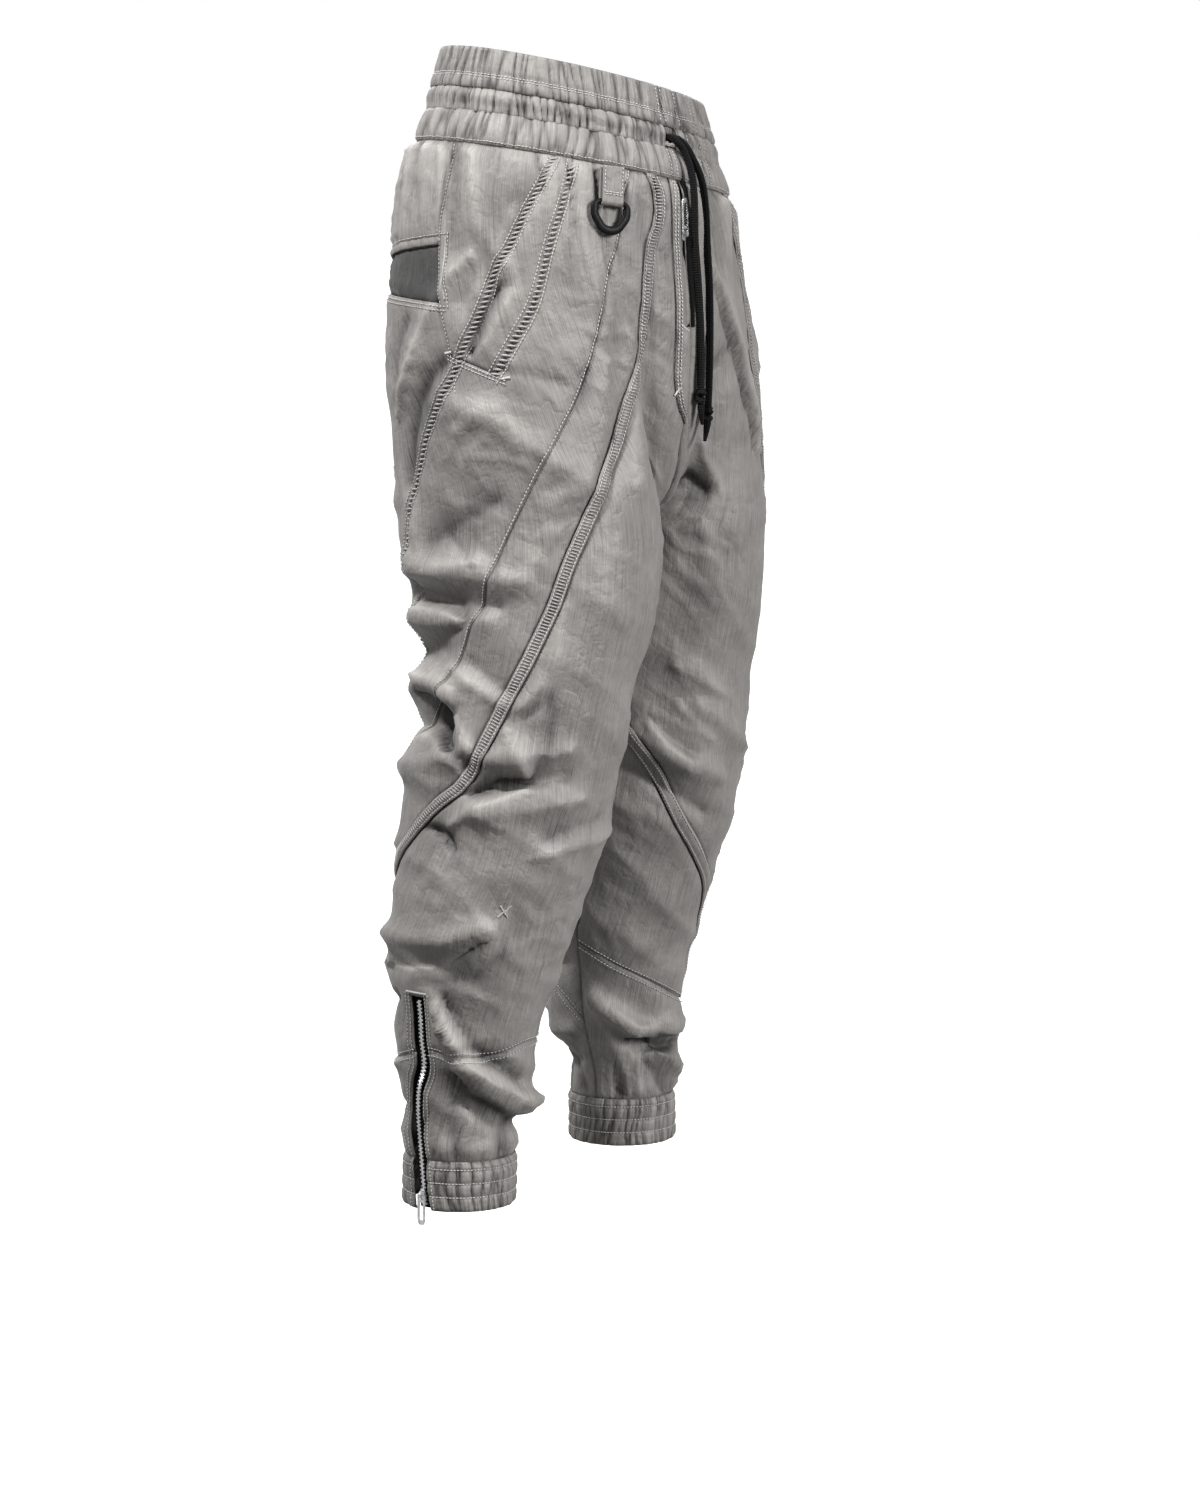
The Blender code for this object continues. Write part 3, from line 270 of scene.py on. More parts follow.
def near_path(path, reach, thin, u, v, scale):
    """Which points lie near a fold's path, how far off they are, and on which flank."""
    us, vs = [p[0] for p in path], [p[1] for p in path]
    k = np.nonzero((v > min(vs) - reach) & (v < max(vs) + reach)
                   & (u > min(us) - reach / scale) & (u < max(us) + reach / scale))
    best, flank = np.full(len(k[0]), 9.0), np.zeros(len(k[0]))
    n = len(path) - 1
    for j in range(n):
        ax, ay = (u[k] - us[j]) * scale[k], v[k] - vs[j]
        bx, by = (us[j + 1] - us[j]) * scale[k], vs[j + 1] - vs[j]
        s = np.clip((ax * bx + ay * by) / (bx * bx + by * by), 0, 1)
        off = np.hypot(ax - s * bx, ay - s * by) * (1 + thin * np.abs((j + s) / n * 2 - 1) ** 3)
        flank = np.where(off < best, np.sign(bx * ay - by * ax), flank)
        best = np.minimum(best, off)
    return k, best, flank


def ridges(side, u, v):
    """Height of the main folds at each (u, v), each a rounded ridge along its path."""
    h = np.zeros(u.shape)
    scale = around(v)
    for which, high, wide, path in FOLDS:
        if which in (0, side):
            k, best, _ = near_path(path, wide * .0024, .7, u, v, scale)
            best /= wide * .001
            crisp = np.exp(-(np.sqrt(best ** 2 + .02) - .1414) / .62)
            h[k] += high * .001 * (.45 * np.exp(-best ** 2) + .55 * crisp)
    return h


def folds(side, u, v):
    """The main folds, faded out at the waist, the cuff and the inner seams."""
    edge = ease((WAIST_SEAM - .004 - v) / .03) * ease((v - CUFF_TOP - .002) / .02)
    seam = ease(np.minimum(u, 1 - u) / .05)
    return ridges(side, u, v) * edge * seam


def unit(v):
    """Vectors of length one."""
    return v / np.linalg.norm(v, axis=-1, keepdims=True)


def normal(fn, side, u, v):
    """Which way a surface faces at each (u, v), away from the leg."""
    e = .002
    ring = v < CROTCH
    more = np.where(ring, (u + e) % 1.0, np.minimum(u + e, 1))
    less = np.where(ring, (u - e) % 1.0, np.maximum(u - e, 0))
    du = fn(side, more, v) - fn(side, less, v)
    dv = fn(side, u, v + e * .5) - fn(side, u, v - e * .5)
    return unit(np.cross(du, dv) * side)


def draped(side, u, v):
    """The worn form with the main folds on it."""
    return form(side, u, v) + normal(form, side, u, v) * folds(side, u, v)[..., None]


def cloth(side, u, v, out=0.0):
    """Points on the main folds of the cloth, moved out along its normal, and the normals."""
    u, v = np.broadcast_arrays(np.asarray(u, float), np.asarray(v, float))
    n = normal(draped, side, u, v)
    return draped(side, u, v) + n * np.asarray(out)[..., None], n


def piece(name, verts, faces, mat, grain=None, flat=False, tone=None):
    """New mesh object; grain is (across, along) in metres for each vertex, tone its darker and paler
    colour, mostly painted shade and highlights.
    """
    me = bpy.data.meshes.new(name)
    me.from_pydata([tuple(p) for p in verts], [], [tuple(int(i) for i in f) for f in faces])
    me.materials.append(mat)
    layers = [("grain", grain)] if grain is not None else []
    if tone is not None:
        layers.append(("tone", np.c_[tone, tone]))
    for key, values in layers:
        layer = me.uv_layers.new(name=key)
        loops = np.empty(len(me.loops), int)
        me.loops.foreach_get("vertex_index", loops)
        layer.data.foreach_set("uv", np.asarray(values, float)[loops].ravel())
    if not flat:
        me.polygons.foreach_set("use_smooth", [True] * len(me.polygons))
    ob = bpy.data.objects.new(name, me)
    bpy.context.scene.collection.objects.link(ob)
    return ob


def along(p, weight=1):
    """Length from the first point to each point of a path."""
    return np.r_[0, np.cumsum(np.linalg.norm(np.diff(p, axis=0) * weight, axis=1))]


def rungs_of(rows, count, closed=True, flip=False, looped=False):
    """Four-sided faces between rows of count points; looped joins the last row to the first."""
    faces = []
    for j in range(rows if looped else rows - 1):
        for i in range(count if closed else count - 1):
            a, b, c, d = (r % rows * count + k % count
                          for r, k in ((j, i), (j + 1, i), (j + 1, i + 1), (j, i + 1)))
            faces.append((a, d, c, b) if flip else (a, b, c, d))
    return faces


def swept(path, radii, count):
    """Rings round a path: points, faces and (turn, length) of each point."""
    p = np.array(path, float)
    t = unit(np.gradient(p, axis=0))
    a = np.cross(t[0], (.3, .2, .9))
    rows, grain = [], []
    for c, d, r, s in zip(p, t, radii, along(p)):
        a = a - d * (a @ d)
        a /= np.linalg.norm(a)
        b = np.cross(d, a)
        w = 2 * math.pi * np.arange(count) / count
        rows.append(c + (np.outer(np.cos(w), a) + np.outer(np.sin(w), b)) * r)
        grain += [(k / count, s) for k in range(count)]
    end = (len(p) - 1) * count
    faces = rungs_of(len(p), count, flip=True)
    faces += [tuple(range(count))[::-1], tuple(range(end, end + count))]
    return np.vstack(rows), faces, grain


def at_length(p, run, s):
    """Points at each length s along a path."""
    return np.stack([np.interp(s, run, p[:, k]) for k in range(3)], -1)


def through(points, step):
    """Points every step along a smooth curve through the given points."""
    p = np.array(points, float)
    q = np.vstack((2 * p[0] - p[1], p, 2 * p[-1] - p[-2]))
    rows = []
    for i in range(1, len(q) - 2):
        for s in np.linspace(0, 1, 24, endpoint=False):
            rows.append(.5 * (2 * q[i] + (q[i + 1] - q[i - 1]) * s
                              + (2 * q[i - 1] - 5 * q[i] + 4 * q[i + 1] - q[i + 2]) * s * s
                              + (3 * q[i] - q[i - 1] - 3 * q[i + 1] + q[i + 2]) * s ** 3))
    rows = np.array(rows + [q[-2]])
    run = along(rows)
    return at_length(rows, run, np.linspace(0, run[-1], max(2, int(run[-1] / step))))


def noise_of(tree, coord, scale, detail, stretch=(1, 1, 1), rough=.5):
    """Noise on a coordinate stretched by axis; returns its value socket."""
    m = add(tree, "Mapping")
    m.inputs["Scale"].default_value = stretch
    tree.links.new(coord, m.inputs["Vector"])
    n = add(tree, "TexNoise", Scale=scale, Detail=detail, Roughness=rough)
    tree.links.new(m.outputs[0], n.inputs["Vector"])
    return n.outputs[0]


def spread(tree, value, low, high, to_low, to_high):
    """A value moved from one range to another."""
    r = add(tree, "MapRange")
    for i, x in zip((1, 2, 3, 4), (low, high, to_low, to_high)):
        r.inputs[i].default_value = x
    tree.links.new(value, r.inputs[0])
    return r.outputs[0]


def maths(tree, how, a, b=0):
    """One sum of two sockets or numbers."""
    n = add(tree, "Math", operation=how)
    for k, x in enumerate((a, b)):
        if isinstance(x, (int, float)):
            n.inputs[k].default_value = x
        else:
            tree.links.new(x, n.inputs[k])
    return n.outputs[0]


def shade(tree, b, factor, dark, light):
    """Base colour between two colours."""
    mix = add(tree, "Mix", data_type="RGBA")
    mix.clamp_factor = False
    mix.inputs[6].default_value = (*dark, 1)
    mix.inputs[7].default_value = (*light, 1)
    tree.links.new(factor, mix.inputs[0])
    tree.links.new(mix.outputs[2], b.inputs["Base Color"])


def relief(tree, b, height, distance, strength=1.0):
    """Fine height over the surface, on top of what is there already."""
    bump = add(tree, "Bump", Distance=distance, Strength=strength)
    tree.links.new(height, bump.inputs["Height"])
    before = b.inputs["Normal"].links
    if before:
        tree.links.new(before[0].from_socket, bump.inputs["Normal"])
    tree.links.new(bump.outputs[0], b.inputs["Normal"])


def black_weave(name, rough, light, depth, strands):
    """Black braid or tape of two sets of strands, each given by its turns across and along."""
    mat, tree, shader = finish(name, (.004, .004, .005), rough)
    parts = add(tree, "SeparateXYZ")
    tree.links.new(add(tree, "UVMap", uv_map="grain").outputs[0], parts.inputs[0])
    waves = [maths(tree, "SINE", maths(tree, "ADD", maths(tree, "MULTIPLY", parts.outputs[1], b),
                                       maths(tree, "MULTIPLY", parts.outputs[0], a)))
             for a, b in 2 * math.pi * np.array(strands)]
    over = maths(tree, "MULTIPLY", *waves)
    shade(tree, shader, spread(tree, over, -1, 1, 0, 1), (.0015, .0015, .002), light)
    shader.inputs["Specular IOR Level"].default_value = .15
    relief(tree, shader, over, depth)
    return mat


BRAID_PITCH, BRAID_ENDS = .0042, 4
braid = black_weave("black braid", .8, (.009, .009, .010), .0005,
                    ((BRAID_ENDS, 1 / BRAID_PITCH), (-BRAID_ENDS, 1 / BRAID_PITCH)))

CORD, CORD_SIDES, CORD_STEP = .0031, 14, .0015         # radius, sides and step of the mesh
KNOT_TURN, KNOT_CORD, KNOT_POINTS = .0032, .0023, 46   # radii of the knot's turns and its cord
TAIL = np.linspace(.95, .45, 9)                        # the tail thins out to its cut end
# rows on the cloth (side, u, v, out), then the free hang from the last of them
CORDS = {
    "drawcord_right": (((RIGHT, .0085, -.0430, -.0020), (RIGHT, .0085, -.0432, .0020),
                        (RIGHT, .0080, -.0450, .0065), (RIGHT, .0040, -.0500, .0097),
                        (LEFT, .0060, -.0580, .0106), (LEFT, .0100, -.0740, .0106),
                        (LEFT, .0105, -.0950, .0082), (LEFT, .0110, -.1300, .0066),
                        (LEFT, .0120, -.1700, .0063), (LEFT, .0130, -.2100, .0063)),
                       ((0, 0, -.025), (0, 0, -.046), (0, 0, -.050), (.0005, 0, -.055),
                        (.0005, 0, -.059), (.001, 0, -.067), (.003, 0, -.077))),
    "drawcord_left": (((LEFT, .0085, -.0430, -.0020), (LEFT, .0085, -.0432, .0020),
                       (LEFT, .0095, -.0450, .0065), (LEFT, .0150, -.0500, .0097),
                       (LEFT, .0240, -.0590, .0104), (LEFT, .0340, -.0760, .0104),
                       (LEFT, .0390, -.0980, .0080), (LEFT, .0420, -.1300, .0064),
                       (LEFT, .0410, -.1700, .0062), (LEFT, .0390, -.2100, .0064)),
                      ((-.001, 0, -.035), (-.003, 0, -.061), (-.0032, 0, -.065), (-.0036, 0, -.070),
                       (-.004, 0, -.074), (-.006, 0, -.081), (-.009, 0, -.090)))}

for name, (near, hang) in CORDS.items():
    route = [cloth(q, np.array([a]), np.array([b]), np.array([c]))[0][0] for q, a, b, c in near]
    route += [route[-1] + q for q in hang]
    knot_at = (route[12] + route[13]) / 2
    course = through(route, CORD_STEP)
    radii = np.full(len(course), CORD)
    radii[-len(TAIL):] *= TAIL
    verts, faces, turn = swept(course, radii, CORD_SIDES)
    lead = piece(name + "_cord", verts, faces, braid, turn)
    # overhand knot: a turn and a half of the same cord round itself, the end tucked under
    w = np.linspace(0, 3.4 * math.pi, KNOT_POINTS)
    loop = np.c_[KNOT_TURN * np.cos(w), KNOT_TURN * np.sin(w),
                 .0042 * np.cos(w * .5 + .4) + .0016 * np.sin(w * 1.5)]
    tilt = np.array(((1, 0, 0), (0, .92, -.38), (0, .38, .92)))
    verts, faces, turn = swept(knot_at + loop @ tilt.T, np.full(KNOT_POINTS, KNOT_CORD), 12)
    knot = piece(name + "_knot", verts, faces, braid, turn)
    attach(lead, "trousers")
    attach(knot, "trousers")
    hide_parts(name)

# ---- Leg and seat panels ----------------------------------------------------------------
# Crisp grey cotton sateen with vertical slubs, in panels whose seams wind round the leg. The
# edges are turned under, so a seam is a small ditch, and the lapped bands lie on top. One net
# of triangles per leg is cut along the real seams.
SEAMS = {
    RIGHT: {
        "A": ((.062, -.078), (.050, -.092), (.048, -.105), (.053, -.122), (.068, -.136),
              (.077, -.156), (.085, -.183), (.108, -.228), (.158, -.256), (.217, -.283),
              (.260, -.308), (.310, -.338), (.345, -.370), (.370, -.400), (.395, -.446),
              (.425, -.500), (.453, -.544), (.485, -.589), (.532, -.612), (.610, -.653),
              (.75, -.700), (.88, -.730), (1.0, -.748)),
        "B": ((.122, -.078), (.139, -.104), (.146, -.134), (.170, -.161), (.200, -.190),
              (.238, -.220), (.297, -.257), (.352, -.291), (.410, -.334), (.455, -.384),
              (.500, -.447), (.545, -.507), (.625, -.553), (.75, -.600), (.88, -.630),
              (1.0, -.645)),
        "calf": ((0, -.822), (.15, -.816), (.262, -.814), (.366, -.822), (.489, -.817),
                 (.655, -.830), (.85, -.826), (1, -.822))},
    LEFT: {
        "A": ((.165, -.078), (.175, -.100), (.183, -.122), (.197, -.155), (.207, -.184),
              (.225, -.228), (.270, -.282), (.290, -.308), (.315, -.338), (.344, -.370),
              (.364, -.400), (.390, -.445), (.424, -.500), (.452, -.544), (.484, -.589),
              (.532, -.613), (.611, -.654), (.75, -.700), (.88, -.730), (1.0, -.748)),
        "B": ((.235, -.078), (.245, -.104), (.250, -.134), (.262, -.161), (.278, -.190),
              (.300, -.219), (.335, -.257), (.365, -.291), (.410, -.333), (.453, -.384),
              (.504, -.447), (.545, -.507), (.625, -.553), (.75, -.600), (.88, -.630),
              (1.0, -.645)),
        "calf": ((0, -.765), (.117, -.793), (.330, -.828), (.5, -.835), (.75, -.805),
                 (.908, -.811), (1, -.838)),
        "shin": ((0, -.545), (.054, -.575), (.095, -.607), (.148, -.654), (.210, -.690),
                 (.267, -.720), (.310, -.754), (.326, -.787), (.330, -.828))}}
POCKET_FRONT = ((.247, -.078), (.263, -.117), (.300, -.162), (.338, -.195), (.393, -.228),
                (.438, -.256))
POCKET_REAR = ((.283, -.078), (.315, -.111), (.355, -.148), (.398, -.175), (.425, -.197),
               (.480, -.238), (.515, -.268), (.557, -.301), (.590, -.345), (.620, -.400),
               (.660, -.480), (.71, -.590))
POCKET_BAR = ((.418, -.2555), (.505, -.2385))
STRIP_END, SHIN_FROM = -.26, -.54        # no pocket strip lies lower, no shin panel higher
SIDE_SEAM = ((.530, -.078), (.519, -.115), (.520, -.154), (.515, -.200), (.505, -.235),
             (.500, -.262))
ZIP_LINE = ((.530, -.771), (.530, -.806), (.523, -.830), (.545, -.856), (.552, -.883),
            (.542, -.915), (.526, -.957))
WELT_TOP, WELT_END, WELT_PIPE = ((.500, -.152), (.806, -.168)), .800, .006
WELT_LOW = ((.500, -.2025), (.806, -.196))
FACING = ((.031, -.078), (.032, -.200), (.031, -.245), (.022, -.272), (0, -.290))
FLY = (.011, -.205)      # width in u and lower end of the fly zip's opening
LAPS_FROM, FLY_LAP = .018, .0062         # the facing's fold starts here and laps over by this
LAP, TAPE = .011, .015   # width of the lapped bands and of the ankle zips' opening
SEAM_STEP = .0078        # spacing of the net's points, halved afterwards
SHORTEST = .0004         # two crossings nearer than this are one
BESIDE = (.0013, .0038)  # rows of points beside every seam
CLOTH_THICK = .0011


def line(table, over=.007):
    """Smooth curve through a table of (u, v), run on past both ends, 3 mm steps."""
    p = np.array(table, float)
    w = np.array((.5, 1))
    for end, nxt in ((0, 1), (-1, -2)):
        d = (p[end] - p[nxt]) * w
        ext = p[end] + (p[end] - p[nxt]) * over / np.linalg.norm(d)
        p = np.vstack((ext, p)) if end == 0 else np.vstack((p, ext))
    s = along(p, w)
    q = np.linspace(0, s[-1], int(s[-1] / .003) + 2)
    rows = np.c_[-s, p]
    return np.c_[smooth(-q, rows, 1), smooth(-q, rows, 2)]


def beside(p, dist):
    """Curve beside another, dist metres to its upper side."""
    scale = around(p[:, 1])
    d = np.gradient(p, axis=0) * np.c_[scale, np.ones(len(p))]
    d /= np.linalg.norm(d, axis=1, keepdims=True) + 1e-12
    return p + np.c_[-d[:, 1] / scale, d[:, 0]] * dist


def crossings(p, q):
    """Where two curves cross: place along each, and the point."""
    a, b = p[:-1, None], p[1:, None] - p[:-1, None]
    c, d = q[None, :-1], q[None, 1:] - q[None, :-1]
    det = b[..., 0] * d[..., 1] - b[..., 1] * d[..., 0]
    det = np.where(abs(det) < 1e-12, 1e-12, det)
    e = c - a
    s = (e[..., 0] * d[..., 1] - e[..., 1] * d[..., 0]) / det
    t = (e[..., 0] * b[..., 1] - e[..., 1] * b[..., 0]) / det
    i, j = np.nonzero((s >= 0) & (s < 1) & (t >= 0) & (t < 1))
    return [(m + s[m, n], n + t[m, n], p[m] + s[m, n] * (p[m + 1] - p[m])) for m, n in zip(i, j)]


def seam_curves(side):
    """Every seam and edge of one leg as a curve of (u, v)."""
    top, low = WAIST_SEAM, CUFF_TOP
    c = {"top": np.array(((-.02, top), (1.02, top))), "low": np.array(((-.02, low), (1.02, low))),
         "front": np.array(((0, top + .02), (0, low - .02))),
         "back": np.array(((1, top + .02), (1, low - .02)))}
    c["A"] = line(SEAMS[side]["A"], .02)
    c["lap"] = beside(c["A"], LAP)
    c["B"] = line(SEAMS[side]["B"])
    c["calf"] = line(SEAMS[side]["calf"])
    c["pf"] = line(POCKET_FRONT, .004)
    c["pr"] = line(POCKET_REAR)
    c["bar"] = line(POCKET_BAR, .001)
    c["side"] = line(SIDE_SEAM)
    c["w1"] = np.array(WELT_TOP)
    c["w2"] = c["w1"] - (0, WELT_PIPE)
    c["w3"] = np.array(WELT_LOW)
    c["w4"] = np.array(((WELT_END, -.150), (WELT_END, -.210)))
    z = line(ZIP_LINE, .004)
    c["z1"], c["z2"] = beside(z, -TAPE / 2), beside(z, TAPE / 2)
    c["z0"] = np.array(((.49, ZIP_LINE[0][1]), (.57, ZIP_LINE[0][1])))
    if side == LEFT:
        c["shin"] = line(SEAMS[side]["shin"])
        c["shinlap"] = beside(line(SEAMS[side]["shin"], .02), LAP)
    else:
        c["facing"] = line(FACING)
        c["f1"] = np.array(((FLY[0], top + .006), (FLY[0], FLY[1] - .004)))
        c["f2"] = np.array(((-.01, FLY[1]), (FLY[0] + .006, FLY[1])))
    return c


def edge_rows(curves):
    """Heights where any seam meets a leg's front or back edge, the same for all four edges."""
    rows = [CROTCH + h for h in (.03, .014, .006, .002, .0006, 0)]
    for c in curves.values():
        for n in c:
            if n not in ("front", "back"):
                for edge in ("front", "back"):
                    rows += [float(pt[1]) for _, _, pt in crossings(c[n], c[edge])]
    return sorted({round(r, 7) for r in rows}, reverse=True)


def net(curves, grid, shared):
    """Cut every curve at its crossings, drop the run-on ends, resample."""
    names = list(curves)
    cuts = {n: [] for n in names}
    for n, u in (("front", 0.0), ("back", 1.0)):
        v0, v1 = curves[n][:, 1]
        cuts[n] = [((v0 - v) / (v0 - v1), np.array((u, v))) for v in shared]
    for i, m in enumerate(names):
        for n in names[i + 1:]:
            for s, t, pt in crossings(curves[m], curves[n]):
                for name, k in ((m, s), (n, t)):
                    if name not in ("front", "back"):
                        cuts[name].append((k, pt))
    out = {}
    for n in names:
        c = sorted(cuts[n], key=lambda r: r[0])
        pts = [c[0][1]]
        for (s0, p0), (s1, p1) in zip(c, c[1:]):
            sub = np.vstack((p0, curves[n][int(s0) + 1:int(s1) + 1], p1))
            run = along(sub, np.c_[around(sub[:, 1]), np.ones(len(sub))][1:])
            if run[-1] < SHORTEST:
                continue
            q = np.linspace(0, run[-1], max(1, int(round(run[-1] / grid))) + 1)[1:]
            pts += list(np.c_[np.interp(q, run, sub[:, 0]), np.interp(q, run, sub[:, 1])])
            pts[-1] = p1
        out[n] = np.array(pts)
    return out


def panel_of(side, c, u, v):
    """Name of the panel at each (u, v)."""
    def right_of(key):
        p = c[key][np.argsort(c[key][:, 1])]
        return u > np.interp(v, p[:, 1], p[:, 0])

    def below(key):
        p = c[key][np.argsort(c[key][:, 0])]
        return v < np.interp(u, p[:, 0], p[:, 1])
    name = np.full(u.shape, "front_panel", dtype="<U20")
    name[right_of("A")] = "lapped_band"
    past = right_of("lap") & (v > c["lap"][:, 1].min())
    name[past] = "spiral_panel"
    name[past & right_of("B") & (v > c["B"][:, 1].min())] = "side_front_panel"
    rear = right_of("pr") & right_of("B") & (v > c["B"][:, 1].min())
    name[rear] = "back_panel"
    name[right_of("pr") & ~right_of("side") & (v > c["side"][:, 1].min())] = "side_back_panel"
    name[right_of("pf") & ~right_of("pr") & ~below("bar") & (v > STRIP_END)] = "pocket_strip"
    welt = rear & right_of("side") & (u < WELT_END)
    name[welt & below("w1") & ~below("w2")] = "welt_piping"
    name[welt & below("w2") & ~below("w3")] = "welt_patch"
    if side == LEFT:
        low = v < SHIN_FROM
        name[low & ~right_of("shinlap") & (name == "front_panel")] = "shin_band"
        name[low & ~right_of("shin") & ((name == "front_panel") | (name == "shin_band"))] = "shin_panel"
    else:
        name[~right_of("facing") & (v > c["facing"][:, 1].min())] = "fly_facing"
        name[(u < FLY[0]) & (v > FLY[1])] = "fly_zip"
    calf = below("calf")
    name[calf] = np.where(u[calf] < ZIP_LINE[0][0], "calf_front_panel", "calf_back_panel")
    name[(v < ZIP_LINE[0][1]) & right_of("z1") & ~right_of("z2")] = ""
    return name


def tree_of(points):
    """Search tree for the nearest of some points."""
    tree = kdtree.KDTree(len(points))
    for i, p in enumerate(points):
        tree.insert(p, i)
    tree.balance()
    return tree


def dense(p, step):
    """A resampled seam with extra points between, for measuring distances to it."""
    run = along(p, np.c_[around(p[:, 1]), np.ones(len(p))][1:])
    q = np.linspace(0, run[-1], max(2, int(run[-1] / step)))
    return np.c_[np.interp(q, run, p[:, 0]), np.interp(q, run, p[:, 1])]


def halved(uv, tri):
    """Each triangle in four."""
    e = np.sort(np.concatenate([tri[:, [0, 1]], tri[:, [1, 2]], tri[:, [2, 0]]]), axis=1)
    key, inv = np.unique(e[:, 0].astype(np.int64) * len(uv) + e[:, 1], return_inverse=True)
    a, b = key // len(uv), key % len(uv)
    n = len(tri)
    m = len(uv) + inv.ravel()
    x, y, z = m[:n], m[n:2 * n], m[2 * n:]
    more = np.stack([tri[:, 0], x, z, x, tri[:, 1], y, z, y, tri[:, 2], x, y, z], 1).reshape(-1, 3)
    return np.vstack((uv, (uv[a] + uv[b]) / 2)), more


def leg_net(side, curves, rows):
    """Points, triangles, the panel of each triangle, and a tree of the seams, for one leg."""
    c = net(curves[side], SEAM_STEP, rows)
    pts, edges, index = [], [], {}
    for p in c.values():
        last = None
        for q in p:
            key = (round(q[0], 6), round(q[1], 6))
            if key not in index:
                index[key] = len(pts)
                pts.append(q)
            if last is not None and last != index[key]:
                edges.append((last, index[key]))
            last = index[key]
    seams = np.vstack([dense(p, .0012) for p in c.values()])
    seam_tree = tree_of(form(side, seams[:, 0], seams[:, 1]))
    long = [p for p in c.values() if len(p) > 1]
    extra = [beside(p, d * s) for p in long for d in BESIDE for s in (-1, 1)]
    limit = [d * .72 for p in long for d in BESIDE for _ in (-1, 1) for _ in p]
    # level rows of points between the seams, every other one shifted by half a step
    n = int((WAIST_SEAM - CUFF_TOP) / (SEAM_STEP * .88))
    for r in range(1, n):
        v = WAIST_SEAM + (CUFF_TOP - WAIST_SEAM) * r / n
        m = max(4, int(float(around(v)) / SEAM_STEP))
        u = (np.arange(m) + .5 * (r % 2) + .25) / m
        extra.append(np.c_[u, np.full(m, v)])
        limit += [BESIDE[1] + SEAM_STEP * .4] * m
    extra = np.vstack(extra)
    spot = form(side, np.clip(extra[:, 0], 0, 1), extra[:, 1])
    far = np.array([seam_tree.find(p)[2] for p in spot])
    keep = ((far > np.array(limit)) & (extra[:, 0] > .001) & (extra[:, 0] < .999)
            & (extra[:, 1] < WAIST_SEAM - .0008) & (extra[:, 1] > CUFF_TOP + .0008))
    pts += list(extra[keep])
    flat = [Vector((p[0] * .5, p[1])) for p in pts]
    vs, _, tris, _, _, _ = delaunay_2d_cdt(flat, edges, [], 0, 1e-6)
    uv = np.array([(q[0] / .5, q[1]) for q in vs])
    tri = np.array([t for t in tris])
    mid = uv[tri].mean(axis=1)
    inside = (mid[:, 0] > 0) & (mid[:, 0] < 1) & (mid[:, 1] < WAIST_SEAM) & (mid[:, 1] > CUFF_TOP)
    names = panel_of(side, c, mid[:, 0], mid[:, 1])
    keep = inside & (names != "")
    tri, names = tri[keep], names[keep]
    used, inv = np.unique(tri, return_inverse=True)
    uv, tri = halved(uv[used], inv.reshape(tri.shape))
    return uv, tri, np.repeat(names, 4), seam_tree


